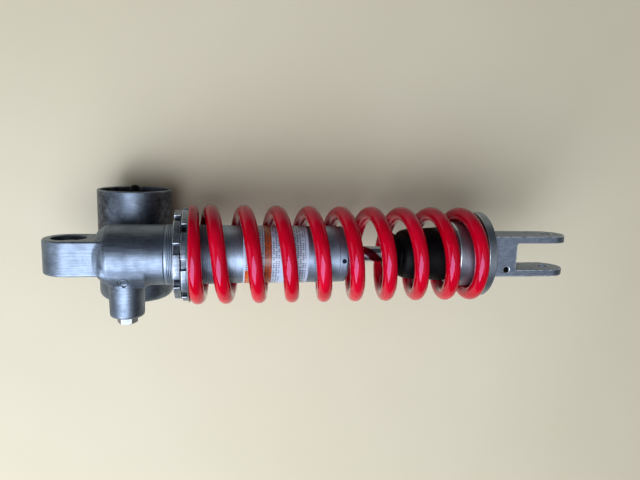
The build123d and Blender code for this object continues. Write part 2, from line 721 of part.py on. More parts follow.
def top_out_bumper():
    """The rubber ring that meets the seal head when the shock is at full length."""
    start = SHOULDER_X + 0.2
    corners = [(start, ROD_R + SEATED), (start, TOP_OUT_R), (start + 4.5, TOP_OUT_R),
               (start + 6.0, TOP_OUT_R - 1.6),
               (start + 7.5, TOP_OUT_R), (TOP_OUT_END - 1, TOP_OUT_R), (TOP_OUT_END, TOP_OUT_R - 1),
               (TOP_OUT_END, ROD_R + SEATED)]
    return turned(corners)


# Bump stop

def bump_stop():
    """The rubber stop: a small lobe at its tip, a groove, and a long lobe that widens to its base."""
    groove = BUMP_START + BUMP_TIP_LOBE
    bore = ROD_R + FREE
    corners = [(BUMP_START, bore + 1.5), (BUMP_START, BUMP_TIP_R - 3.0), (BUMP_START + 1.0, BUMP_TIP_R - 1.0),
               (BUMP_START + 3.5, BUMP_TIP_R), (groove - 3.0, BUMP_TIP_R), (groove - 0.8, BUMP_NECK_R + 0.6),
               (groove, BUMP_NECK_R), (groove + 1.2, BUMP_NECK_R + 0.8), (groove + 3.5, BUMP_LOBE_R - 1.0),
               (groove + 8.0, BUMP_LOBE_R), (BUMP_END - 12.0, BUMP_BASE_R - 0.8),
               (BUMP_END - 4.0, BUMP_BASE_R),
               (BUMP_END, BUMP_BASE_R), (BUMP_END, bore)]
    return turned(corners)


def bump_stop_cup():
    """The steel washer that backs the bump stop."""
    return ring_x(BUMP_END + SHIM_GAP, SHANK_FACE - SHIM_GAP, BUMP_BASE_R, ROD_R + SEATED)


# Spring, rings and lower seat

def castellated_ring(start, thick, outer, notch_angle):
    """A threaded ring with square notches round its edge for a hook spanner."""
    edge = 0.7
    bore = THREAD_R + RUNNING
    end = start + thick
    ring = turned([(start, bore + edge), (start, outer - edge), (start + edge, outer), (end - edge, outer),
                   (end, outer - edge), (end, bore + edge), (end - edge, bore), (start + edge, bore)])
    half = NOTCH_WIDTH / 2
    for i in range(RING_NOTCHES):
        cutter = block(start - 1, end + 1, outer - NOTCH_DEPTH, outer + 2, -half, half)
        ring -= Rot(notch_angle + 360 / RING_NOTCHES * i, 0, 0) * cutter
    return ring


def lock_ring():
    """The ring that locks the preload ring."""
    return castellated_ring(RING_START, LOCK_RING_THICK, LOCK_RING_R, LOCK_NOTCH_ANGLE)


def preload_ring():
    """The ring that sets the spring's preload."""
    return castellated_ring(PRELOAD_START, PRELOAD_RING_THICK, PRELOAD_RING_R, PRELOAD_NOTCH_ANGLE)


def spring_slip_washer():
    """The thin washer under the spring, with a lip that centres it."""
    bore = THREAD_R + FREE
    lip = SPRING_R - 2 * WIRE_R - FREE
    return turned([(SLIP_START, bore), (SLIP_START, SPRING_R - 2), (SPRING_START - 0.05, SPRING_R - 2),
                   (SPRING_START - 0.05, lip), (SPRING_START + SLIP_SPIGOT - 1, lip),
                   (SPRING_START + SLIP_SPIGOT, lip - 1), (SPRING_START + SLIP_SPIGOT, bore)])


def ramp_area(u):
    """The area under a smooth rise from 0 to 1 over one unit, up to u, which then stays at 1."""
    if u <= 0:
        return 0.0
    return u ** 3 - u ** 4 / 2 if u < 1 else u - 0.5


def spring_station(t):
    """The wire's place along X after t turns: close coils at each end, open ones between."""
    first = SPRING_START + WIRE_TIP - WIRE_R
    last = FLANGE_START - WIRE_TIP + WIRE_R
    closed = 2 * WIRE_R + CLOSED_PITCH_GAP
    fall = SPRING_TURNS - CLOSED_RIGHT - RAMP_RIGHT

    def opened(turns):
        """How many turns' worth of opening lies before this turn."""
        rise_area = RAMP_LEFT * ramp_area((turns - CLOSED_LEFT) / RAMP_LEFT)
        return rise_area - RAMP_RIGHT * ramp_area((turns - fall) / RAMP_RIGHT)

    spread = (last - first - closed * SPRING_TURNS) / opened(SPRING_TURNS)
    return first + closed * t + spread * opened(t)


def coil_spring():
    """The main spring, its end coils closed and ground flat."""
    coil = wire_coil(SPRING_R - WIRE_R, WIRE_R, SPRING_TURNS, spring_station, SPRING_PHASE)
    ground = ring_x(SPRING_START, FLANGE_START - 0.05, SPRING_R + 5)
    return coil & ground


def spring_seat():
    """The lower seat: a flange for the spring and a spigot inside it."""
    bore = SHANK_R + RUNNING
    edge = 0.9
    return turned([(SEAT_START, bore + 1), (SEAT_START, SEAT_SPIGOT_R - 2.5),
                   (SEAT_START + 2.5, SEAT_SPIGOT_R), (FLANGE_START, SEAT_SPIGOT_R),
                   (FLANGE_START, SEAT_R - edge), (FLANGE_START + edge, SEAT_R),
                   (FLANGE_END - edge, SEAT_R), (FLANGE_END, SEAT_R - edge), (FLANGE_END, bore),
                   (SEAT_START + 1, bore)])


# Clevis and rebound adjuster

def clevis():
    """The fork at the rod's end, with its shank, rod socket, pin bores and adjuster holes."""
    half = CLEVIS_WIDTH / 2
    straight = block(CLEVIS_START, PIN_X, -half, half, -CLEVIS_HALF_Z, CLEVIS_HALF_Z)
    fork = straight + ring_y(-half, half, CLEVIS_HALF_Z, 0, PIN_X, 0)
    sides = fork.faces().filter_by(Axis.Y).edges()
    fork = chamfer(sides, CLEVIS_EDGE)
    reach = SLOT_DEPTH + CLEVIS_HALF_Z + 20.0
    gap = extrude(RectangleRounded(reach, CLEVIS_GAP, SLOT_ROUND), CLEVIS_HALF_Z + 1, both=True)
    fork -= Pos(SLOT_START + reach / 2, 0, 0) * gap
    fork -= ring_y(-half - 1, half + 1, LOWER_BOLT_R, 0, PIN_X, 0)
    fork += ring_x(SHANK_FACE, CLEVIS_START, SHANK_R)
    fork -= ring_x(SHANK_FACE - 1, ROD_END + FACE_GAP, ROD_R + SEATED)
    fork -= ring_x(ROD_END, REBOUND_X, ROD_BORE_R)
    fork -= ring_y(-half - 1, REBOUND_SCREW_R + 2, REBOUND_SCREW_R, 0, REBOUND_X, 0)
    return fork - Pos(REBOUND_X, DETENT_Y, CLEVIS_HALF_Z / 2 + 1) * Cylinder(DETENT_R, CLEVIS_HALF_Z + 2)


def rebound_adjuster():
    """The slotted screw across the crown whose cone moves the metering rod."""
    face = REBOUND_SCREW_SINK - CLEVIS_WIDTH / 2
    outer = REBOUND_SCREW_R - RUNNING
    cone = REBOUND_CONE_Y
    corners = [(face, 0), (face, outer - 0.5), (face + 0.5, outer), (-cone, outer), (cone, 0.6), (cone, 0)]
    screw = turned_across(corners, REBOUND_X, 0)
    half = REBOUND_SLOT / 2
    slot_floor = face + SCREW_SLOT_DEPTH
    return screw - block(REBOUND_X - half, REBOUND_X + half, face - 1, slot_floor, -outer - 1, outer + 1)


def detent_ball():
    """The ball that clicks in the adjuster's notches."""
    return Pos(REBOUND_X, DETENT_Y, REBOUND_SCREW_R + DETENT_BALL_R + FREE) * Sphere(DETENT_BALL_R)


def detent_spring_start():
    """The height above the axis where the detent's spring begins."""
    return REBOUND_SCREW_R + 2 * DETENT_BALL_R + FREE + 2 * DETENT_WIRE_R - 0.2


def detent_spring():
    """The small spring behind the detent ball."""
    coil = wire_coil(DETENT_SPRING_R, DETENT_WIRE_R, DETENT_TURNS, lambda t: DETENT_PITCH * t, 0.0)
    return Pos(REBOUND_X, DETENT_Y, detent_spring_start()) * Rot(0, -90, 0) * coil


def detent_plug():
    """The grub screw that closes the detent's hole, with a hexagon socket."""
    top = CLEVIS_HALF_Z - DETENT_PLUG_SINK
    low = detent_spring_start() + DETENT_PITCH * DETENT_TURNS + 2 * DETENT_WIRE_R
    plug = Pos(REBOUND_X, DETENT_Y, (low + top) / 2) * Cylinder(DETENT_R - SEATED, top - low)
    outline = RegularPolygon(DETENT_SOCKET / 2, 6, major_radius=False)
    socket = extrude(outline, DETENT_SOCKET_DEPTH + 1)
    return plug - Pos(REBOUND_X, DETENT_Y, top - DETENT_SOCKET_DEPTH) * socket


PIECES = [
    eye_bearing_race, eye_bearing_ball, eye_sleeve, eye_snap_rings,
    head_casting, passage_plug,
    compression_valve_body, compression_oring, high_speed_adjuster, low_speed_adjuster, compression_needle,
    reservoir_cap, reservoir_oring, reservoir_snap_ring, reservoir_bladder, gas_valve, gas_valve_cap,
    damper_tube, seal_head, seal_head_oring, rod_bush, rod_seal, tube_snap_ring, tube_end_cap, dust_wiper,
    body_label,
    piston_rod, rebound_metering_rod, piston, piston_band, compression_shims, rebound_shims,
    rebound_stop_washer, piston_nut, top_out_bumper,
    bump_stop, bump_stop_cup,
    lock_ring, preload_ring, spring_slip_washer, coil_spring, spring_seat,
    clevis, rebound_adjuster, detent_ball, detent_spring, detent_plug,
]

os.makedirs("parts", exist_ok=True)
for piece in PIECES:
    export_step(piece(), f"parts/{piece.__name__}.step")
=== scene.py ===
"""The looks of a rear shock absorber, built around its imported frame.

Sizes here are millimetres in the part's own frame: X runs from the eye to the clevis, Y along both mounting
bores, and Z away from the reservoir. A mesh turns them to metres when it is made.
"""

import json
from math import cos, pi, radians, sin

import bpy
import numpy as np
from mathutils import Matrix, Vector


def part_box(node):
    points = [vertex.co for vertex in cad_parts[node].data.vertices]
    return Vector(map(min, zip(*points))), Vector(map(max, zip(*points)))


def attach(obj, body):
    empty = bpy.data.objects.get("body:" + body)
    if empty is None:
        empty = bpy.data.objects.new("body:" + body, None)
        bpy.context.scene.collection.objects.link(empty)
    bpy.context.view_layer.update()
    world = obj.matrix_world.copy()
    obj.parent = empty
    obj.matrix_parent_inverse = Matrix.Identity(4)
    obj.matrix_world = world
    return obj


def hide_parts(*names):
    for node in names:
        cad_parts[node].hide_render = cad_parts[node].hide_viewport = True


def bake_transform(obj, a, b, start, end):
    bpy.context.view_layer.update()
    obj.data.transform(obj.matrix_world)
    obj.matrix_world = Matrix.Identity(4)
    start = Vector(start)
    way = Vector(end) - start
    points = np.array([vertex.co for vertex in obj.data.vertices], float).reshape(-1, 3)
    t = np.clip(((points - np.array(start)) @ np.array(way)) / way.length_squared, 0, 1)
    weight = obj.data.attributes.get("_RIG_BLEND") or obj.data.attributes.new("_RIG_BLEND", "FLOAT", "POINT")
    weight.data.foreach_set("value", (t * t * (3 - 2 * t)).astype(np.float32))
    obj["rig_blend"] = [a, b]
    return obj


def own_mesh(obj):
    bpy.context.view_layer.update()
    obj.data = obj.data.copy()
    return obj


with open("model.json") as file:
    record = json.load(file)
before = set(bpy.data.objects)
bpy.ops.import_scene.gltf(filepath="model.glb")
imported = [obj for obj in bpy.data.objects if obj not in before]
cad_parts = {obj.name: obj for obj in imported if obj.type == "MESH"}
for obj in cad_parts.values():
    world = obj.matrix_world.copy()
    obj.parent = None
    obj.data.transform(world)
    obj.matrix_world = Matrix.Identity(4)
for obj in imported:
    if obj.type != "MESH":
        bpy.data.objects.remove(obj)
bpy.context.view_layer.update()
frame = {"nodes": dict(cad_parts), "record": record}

METRES = 0.001

# Between turned faces that fit together
FIT_GAP = 0.03

# Past every face of the head and of the clevis's sides, where a bore runs out into the open
BEYOND = 100.0

# The shock's own axis is y = z = 0. These are stations along it and radii round it, unless a name ends in
# Y or Z
EYE_R = 21.0
EYE_HALF = 14.7
RACE_R = 14.0
BALL_R = 12.2
SLEEVE_R = 7.95
UPPER_BOLT_R = 6.0
HEAD_R = 26.0
HEAD_START = 22.5
HEAD_END = 78.0
SPIGOT_START = 60.0
SPIGOT_R = 24.1
CROSS_X = 45.0
BOSS_TIP_Y = -53.7
RESERVOIR_R = 33.6
RESERVOIR_BORE_R = 30.6
RESERVOIR_Z = -60.0
RESERVOIR_TOP = 51.0
RESERVOIR_BOTTOM = -52.0
TUBE_BORE_R = 23.0
THREAD_R = 26.0
THREAD_START = 79.0
THREAD_END = 121.0
TAPER_END = 137.5
TUBE_R = 25.25
TUBE_END = 226.5
BODY_END = 234.5
ROD_R = 7.0
ROD_END = 378.75
NEEDLE_BORE_R = 3.1
BUMP_START = 273.5
SPRING_START = 98.35
SPRING_END = 357.65
SPRING_R = 43.5
WIRE_R = 6.5
SPRING_TURNS = 10.15
SEAT_R = 39.5
FLANGE_END = 365.6
CLEVIS_START = 365.75
SLOT_START = 396.25
SLOT_HALF = 12.5
PIN_X = 434.05
REBOUND_X = 386.75
CLEVIS_HALF = 19.2
CLEVIS_HALF_Z = 17.0


# Meshes

def grid_faces(rows, columns, wrap_rows, wrap_columns):
    """The four-sided faces of a grid numbered row by row.

    A wrapped way joins its last line to its first.
    """
    row, column = np.meshgrid(np.arange(rows - (not wrap_rows)), np.arange(columns - (not wrap_columns)),
                              indexing="ij")
    below, right = (row + 1) % rows, (column + 1) % columns
    corners = [(row, column), (row, right), (below, right), (below, column)]
    return np.stack([down * columns + along for down, along in corners], -1).reshape(-1, 4)


def facing_out(points, faces):
    """The faces, all turned round if the volume they close comes out negative."""
    a, b, c, d = (points[faces[:, i]] for i in range(4))
    volume = np.sum(a * (np.cross(b, c) + np.cross(c, d)))
    return faces if volume > 0 else faces[:, ::-1]


def make_piece(name, points, faces, material, marks=None, normals=None):
    """A smooth mesh from points in millimetres, with one float per point for each named mark."""
    mesh = bpy.data.meshes.new(name)
    mesh.from_pydata(points * METRES, [], facing_out(points, faces))
    mesh.shade_smooth()
    for mark, values in (marks or {}).items():
        layer = mesh.attributes.new(mark, "FLOAT", "POINT")
        layer.data.foreach_set("value", np.ascontiguousarray(values, np.float32).ravel())
    if normals is not None:
        mesh.normals_split_custom_set_from_vertices(normals)
    mesh.materials.append(material)
    piece = bpy.data.objects.new(name, mesh)
    bpy.context.scene.collection.objects.link(piece)
    return piece


def rounded(corners, radius, steps=4):
    """A closed outline whose corners are quadratic curves that start at most radius before the corner.

    Each curve has one more point on either side of it, so that flats stay flat. Also gives each point's
    edge mark: 1 at the middle of an outward corner, 0 on the sides and at an inward one.
    """
    here = np.asarray(corners, float)
    back, ahead = np.roll(here, 1, 0) - here, np.roll(here, -1, 0) - here
    back_length = np.linalg.norm(back, axis=1, keepdims=True)
    ahead_length = np.linalg.norm(ahead, axis=1, keepdims=True)
    cut = np.minimum(radius, 0.4 * np.minimum(back_length, ahead_length))
    start, end = here + back / back_length * cut, here + ahead / ahead_length * cut
    t = np.linspace(0, 1, steps + 1)[None, :, None]
    curve = (1 - t) ** 2 * start[:, None] + 2 * t * (1 - t) * here[:, None] + t ** 2 * end[:, None]
    before = (here + back / back_length * cut * 1.2)[:, None]
    after = (here + ahead / ahead_length * cut * 1.2)[:, None]
    points = np.concatenate([before, curve, after], 1)
    area = np.sum(here[:, 0] * np.roll(here[:, 1], -1) - here[:, 1] * np.roll(here[:, 0], -1))
    turn = (ahead[:, 0] * back[:, 1] - ahead[:, 1] * back[:, 0]) / (back_length * ahead_length)[:, 0]
    outward = np.clip(turn * np.sign(area) * 1.5, 0, 1)
    bump = np.concatenate([[0], (4 * t * (1 - t)).ravel(), [0]])
    return points.reshape(-1, 2), (outward[:, None] * bump).ravel()


def lathe(outline, columns, axis=0, middle=(0.0, 0.0)):
    """A closed outline of (station, radius) carried round a line along X (axis 0) or Y (axis 1)."""
    angle = np.linspace(0, 2 * pi, columns, endpoint=False)
    station = np.repeat(outline[:, :1], columns, 1)
    first = middle[0] + outline[:, 1:] * np.cos(angle)
    second = middle[1] + outline[:, 1:] * np.sin(angle)
    parts = [first, second]
    parts.insert(axis, station)
    return np.stack(parts, -1).reshape(-1, 3)


def turned_piece(name, corners, slot, body, node, edge, columns=128, axis=0, middle=(0.0, 0.0)):
    """A turned piece with rounded edges, from its corners as (station, radius)."""
    outline, worn = rounded(corners, edge)
    points = lathe(outline, columns, axis, middle)
    faces = grid_faces(len(outline), columns, True, True)
    piece = make_piece(name, points, faces, MATERIALS[slot], {"edge": np.repeat(worn, columns)})
    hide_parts(node)
    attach(piece, body)
    return piece


def round_max(a, b, radius):
    """The distance to what two solids share, with the edge between them rounded to a radius."""
    past = np.hypot(np.maximum(a + radius, 0), np.maximum(b + radius, 0))
    return np.minimum(-radius, np.maximum(a, b)) + past


def round_min(a, b, radius):
    """The distance to two solids together, with a fillet of a radius where they meet."""
    near = np.hypot(np.maximum(radius - a, 0), np.maximum(radius - b, 0))
    return np.maximum(radius, np.minimum(a, b)) - near


def bar(p, axis, middle, radius, low, high, edge):
    """The distance to a round bar along an axis: that to its side and to its ends, rounded together."""
    across = [i for i in range(3) if i != axis]
    side = np.hypot(p[..., across[0]] - middle[0], p[..., across[1]] - middle[1]) - radius
    ends = np.abs(p[..., axis] - (low + high) / 2) - (high - low) / 2
    return round_max(side, ends, edge)


def leaning(a, a_share, b, b_share):
    """The distance to a leaning plane or cone: each length times its share, over the shares' hypotenuse."""
    return (a * a_share + b * b_share) / np.hypot(a_share, b_share)


def slab(p, low, high, edge):
    """The distance to a box with rounded edges: outside it the length of the overshoot past its faces."""
    low, high = np.array(low), np.array(high)
    past = np.abs(p - (low + high) / 2) - (high - low) / 2 + edge
    return np.linalg.norm(np.maximum(past, 0), axis=-1) + np.minimum(past.max(-1), 0) - edge


def slope(distance, p, reach):
    """The gradient of a distance, by differences over twice the reach, and its bend.

    The bend is the sum of the second differences along the three axes.
    """
    sides = []
    for axis in range(3):
        step = np.zeros(3)
        step[axis] = reach
        sides.append((distance(p + step), distance(p - step)))
    gradient = np.stack([(ahead - back) / (2 * reach) for ahead, back in sides], -1)
    bend = (sum(ahead + back for ahead, back in sides) - 6 * distance(p)) / reach ** 2
    return gradient, bend


def skin(distance, low, high, step):
    """The surface where a distance is zero, over cubes of one step.

    Each cube that the surface crosses gets a point at the mean of the crossings on its edges, which then
    moves along the gradient onto the surface. The four cubes round a crossed edge make a face. Also gives
    the unit normals and the bend of the surface, positive on outward edges and negative in hollows.
    """
    axes = [np.arange(a, b + step, step) for a, b in zip(low, high)]
    grid = np.stack(np.meshgrid(*axes, indexing="ij"), -1)
    value = distance(grid)
    shape = np.array(value.shape)
    total = np.zeros((*(shape - 1), 3))
    count = np.zeros(shape - 1, int)
    crossings = []
    for axis in range(3):
        others = [i for i in range(3) if i != axis]
        near = np.take(value, range(shape[axis] - 1), axis)
        far = np.take(value, range(1, shape[axis]), axis)
        crossed = (near < 0) != (far < 0)
        where = np.argwhere(crossed)
        share = near[crossed] / (near[crossed] - far[crossed])
        place = where * step + np.array([a[0] for a in axes])
        place[:, axis] += share * step
        inner = np.all((where[:, others] > 0) & (where[:, others] < shape[others] - 1), 1)
        crossings.append((axis, others, where[inner], near[crossed][inner] < 0))
        for first in (0, 1):
            for second in (0, 1):
                cell = where.copy()
                cell[:, others[0]] -= first
                cell[:, others[1]] -= second
                ok = np.all((cell >= 0) & (cell < shape - 1), 1)
                np.add.at(total, tuple(cell[ok].T), place[ok])
                np.add.at(count, tuple(cell[ok].T), 1)
    used = count > 0
    number = np.full(count.shape, -1)
    number[used] = np.arange(used.sum())
    points = total[used] / count[used][:, None]
    faces = []
    for axis, others, where, inside in crossings:
        ring = []
        for first, second in ((1, 1), (0, 1), (0, 0), (1, 0)):
            cell = where.copy()
            cell[:, others[0]] -= first
            cell[:, others[1]] -= second
            ring.append(number[tuple(cell.T)])
        quads = np.stack(ring, -1)
        turned = inside ^ (axis == 1)
        faces.append(np.where(turned[:, None], quads, quads[:, ::-1]))
    for _ in range(3):
        gradient, _bend = slope(distance, points, 0.05)
        length = np.maximum(np.sum(gradient ** 2, -1), 0.1)
        points = points - gradient * np.clip(distance(points) / length, -step, step)[:, None]
    gradient, _bend = slope(distance, points, 0.05)
    normals = gradient / np.linalg.norm(gradient, axis=-1, keepdims=True)
    _wide, bend = slope(distance, points, 0.5)
    return points, np.concatenate(faces), normals, bend


def carved_piece(name, distance, slot, body, node, low, high, step, wear=1.0):
    """A solid given by a distance, made a mesh with cubes of one step between two corners just past it.

    The edge mark rises with an outward bend, from 0.2 to 0.8 per mm, up to wear. The hollow shade mark rises
    with an inward one, from 0.05 to 0.35 per mm, up to a half: painted shade in creases and recesses.
    """
    points, faces, normals, bend = skin(distance, low, high, step)
    marks = {"edge": wear * np.clip((bend - 0.2) / 0.6, 0, 1),
             "hollow_shade": 0.5 * np.clip((-bend - 0.05) / 0.3, 0, 1)}
    piece = make_piece(name, points, faces, MATERIALS[slot], marks, normals)
    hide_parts(node)
    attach(piece, body)


# Materials

def colour(code):
    """An sRGB hex colour as linear red, green, blue and full opacity."""
    parts = np.array([int(code[i:i + 2], 16) for i in (1, 3, 5)]) / 255
    linear = np.where(parts <= 0.04045, parts / 12.92, ((parts + 0.055) / 1.055) ** 2.4)
    return (*linear.tolist(), 1.0)


def grain(size):
    """The texture scale whose features are about this many millimetres across."""
    return 1.0 / (size * METRES)


def add(tree, kind, sockets=None, stops=None, **settings):
    """Adds a node, with its settings, its ramp's stops, and a value or a link for each socket named."""
    node = tree.nodes.new("ShaderNode" + kind)
    for key, value in settings.items():
        setattr(node, key, value)
    for key, value in (sockets or {}).items():
        if isinstance(value, bpy.types.NodeSocket):
            tree.links.new(value, node.inputs[key])
        else:
            node.inputs[key].default_value = value
    if stops:
        while len(node.color_ramp.elements) < len(stops):
            node.color_ramp.elements.new(1.0)
        for element, (place, code) in zip(node.color_ramp.elements, stops):
            element.position = place
            element.color = colour(code)
    return node


def finish(name, **sockets):
    """A new material: its node tree, and its shader with these sockets set."""
    material = bpy.data.materials.new(name)
    material.use_nodes = True
    tree = material.node_tree
    shader = tree.nodes["Principled BSDF"]
    for key, value in sockets.items():
        shader.inputs[key.replace("_", " ")].default_value = value
    return material, tree, shader


def patina_and_shade_share(tree, place, high, low, front, back):
    """How much brown tarnish and painted shade shows, from 0 to 0.92, as a product of three shares.

    The first rises from one height to a lower one, the second is a fine mottle of tarnish, and the third
    rises
    along Y from the front to the back: the first and third are painted shade, darker low down and at the
    back.
    """
    axes = add(tree, "SeparateXYZ", {"Vector": place})
    lower_shade = add(tree, "MapRange", {"Value": axes.outputs["Z"], "From Min": high * METRES,
                                  "From Max": low * METRES, "To Max": 0.92})
    mottle = add(tree, "TexNoise", {"Vector": place, "Scale": grain(5.0), "Detail": 6.0,
                                    "Roughness": 0.7})
    stained = add(tree, "MapRange", {"Value": mottle.outputs["Fac"], "From Min": 0.3, "From Max": 0.6})
    back_shade = add(tree, "MapRange", {"Value": axes.outputs["Y"], "From Min": front * METRES,
                                    "From Max": back * METRES})
    both = add(tree, "Math", {0: lower_shade.outputs["Result"], 1: stained.outputs["Result"]},
               operation="MULTIPLY")
    share = add(tree, "Math", {0: both.outputs[0], 1: back_shade.outputs["Result"]}, operation="MULTIPLY")
    return share.outputs[0]


def metal(name, bright, dull, worn, roughness, brush=(0.05, 1, 1), brush_width=1.1, brush_shade=0.35,
          cloud=12.0, spread=0.14, depth=0.012, patina_and_shade=None):
    """A bare metal: clouds of dull tarnish, lines left by the tool, painted shade in hollows and edges rubbed
    bright.

    brush squeezes the lines' noise along each axis, so the smallest number is the way that the lines run.
    brush_width, cloud and depth are millimetres. patina_and_shade is a colour, then the two heights and the
    two
    places along Y between which it comes in: a mottled tarnish, deepened as painted shade low down and at the
    back.
    """
    material, tree, shader = finish(name, Metallic=1.0)
    place = add(tree, "TexCoord").outputs["Object"]
    clouds = add(tree, "TexNoise", {"Vector": place, "Scale": grain(cloud), "Detail": 5.0,
                                    "Roughness": 0.6})
    hollow_shade = add(tree, "Attribute", attribute_name="hollow_shade")
    edge = add(tree, "Attribute", attribute_name="edge")
    tarnish = add(tree, "MapRange", {"Value": clouds.outputs["Fac"], "From Min": 0.38, "From Max": 0.72,
                                     "To Max": 0.65})
    # Hollows go towards the dull colour as painted shade; the clouds are tarnish
    tarnish_and_shade = add(tree, "Math", {0: hollow_shade.outputs["Fac"], 1: 0.8, 2: tarnish.outputs["Result"]},
                operation="MULTIPLY_ADD", use_clamp=True)
    shown = add(tree, "Mix", {"Factor": tarnish_and_shade.outputs[0], "A": colour(bright), "B": colour(dull)},
                data_type="RGBA").outputs["Result"]
    if patina_and_shade:
        code, *limits = patina_and_shade
        shown = add(tree, "Mix", {"Factor": patina_and_shade_share(tree, place, *limits), "A": shown,
                                  "B": colour(code)}, data_type="RGBA").outputs["Result"]
    squeezed = add(tree, "Mapping", {"Vector": place, "Scale": brush})
    lines = add(tree, "TexNoise", {"Vector": squeezed.outputs["Vector"], "Scale": grain(brush_width),
                                   "Detail": 4.0, "Roughness": 0.7})
    dark_lines = add(tree, "MapRange", {"Value": lines.outputs["Fac"], "From Min": 0.62, "From Max": 0.35,
                                        "To Max": brush_shade})
    shown = add(tree, "Mix", {"Factor": dark_lines.outputs["Result"], "A": shown, "B": colour(dull)},
                data_type="RGBA").outputs["Result"]
    rubs = add(tree, "TexNoise", {"Vector": place, "Scale": grain(4.0), "Detail": 3.0})
    rub = add(tree, "MapRange", {"Value": rubs.outputs["Fac"], "From Min": 0.25, "From Max": 0.5})
    bared = add(tree, "Math", {0: edge.outputs["Fac"], 1: rub.outputs["Result"]}, operation="MULTIPLY",
                use_clamp=True)
    shown = add(tree, "Mix", {"Factor": bared.outputs[0], "A": shown, "B": colour(worn)}, data_type="RGBA")
    tree.links.new(shown.outputs["Result"], shader.inputs["Base Color"])
    uneven = add(tree, "Math", {0: clouds.outputs["Fac"], 1: spread, 2: roughness - spread},
                 operation="MULTIPLY_ADD")
    rough = add(tree, "Math", {0: lines.outputs["Fac"], 1: spread, 2: uneven.outputs[0]},
                operation="MULTIPLY_ADD", use_clamp=True)
    tree.links.new(rough.outputs[0], shader.inputs["Roughness"])
    bump = add(tree, "Bump", {"Height": lines.outputs["Fac"], "Distance": depth * METRES, "Strength": 1.0})
    tree.links.new(bump.outputs["Normal"], shader.inputs["Normal"])
    return material


def red_powder_coat():
    """Gloss powder coat on spring steel: one deep red layer with faint orange peel and a little dust."""
    material, tree, shader = finish("red_powder_coat", Metallic=0.0, IOR=1.5, Specular_IOR_Level=0.5,
                                    Specular_Tint=colour("#C2BEFF"))
    place = add(tree, "TexCoord").outputs["Object"]
    shade = add(tree, "TexNoise", {"Vector": place, "Scale": grain(25.0), "Detail": 3.0})
    red = add(tree, "ValToRGB", {"Fac": shade.outputs["Fac"]},
              stops=[(0.3, "#AE0016"), (0.55, "#BC001E"), (0.75, "#C80626")])
    specks = add(tree, "TexNoise", {"Vector": place, "Scale": grain(1.2), "Detail": 2.0})
    dust = add(tree, "MapRange", {"Value": specks.outputs["Fac"], "From Min": 0.74, "From Max": 0.8,
                                  "To Max": 0.3})
    dusted = add(tree, "Mix", {"Factor": dust.outputs["Result"], "A": red.outputs["Color"],
                               "B": colour("#6A2A26")}, data_type="RGBA")
    tree.links.new(dusted.outputs["Result"], shader.inputs["Base Color"])
    rough = add(tree, "MapRange", {"Value": shade.outputs["Fac"], "To Min": 0.03, "To Max": 0.11})
    tree.links.new(rough.outputs["Result"], shader.inputs["Roughness"])
    peel = add(tree, "TexNoise", {"Vector": place, "Scale": grain(2.2), "Detail": 1.0})
    bump = add(tree, "Bump", {"Height": peel.outputs["Fac"], "Distance": 0.025 * METRES})
    tree.links.new(bump.outputs["Normal"], shader.inputs["Normal"])
    return material


def moulded_rubber(name, code, roughness):
    """Black rubber from a mould: matt, slightly uneven, and greyer where it has rubbed."""
    material, tree, shader = finish(name, Metallic=0.0, IOR=1.5, Specular_IOR_Level=0.1)
    place = add(tree, "TexCoord").outputs["Object"]
    cloud = add(tree, "TexNoise", {"Vector": place, "Scale": grain(8.0), "Detail": 5.0})
    black = add(tree, "ValToRGB", {"Fac": cloud.outputs["Fac"]}, stops=[(0.35, code), (0.8, "#0E0D0F")])
    tree.links.new(black.outputs["Color"], shader.inputs["Base Color"])
    rough = add(tree, "MapRange", {"Value": cloud.outputs["Fac"], "To Min": roughness - 0.1,
                                   "To Max": roughness + 0.15})
    tree.links.new(rough.outputs["Result"], shader.inputs["Roughness"])
    fine = add(tree, "TexNoise", {"Vector": place, "Scale": grain(0.5), "Detail": 2.0})
    bump = add(tree, "Bump", {"Height": fine.outputs["Fac"], "Distance": 0.04 * METRES})
    tree.links.new(bump.outputs["Normal"], shader.inputs["Normal"])
    return material


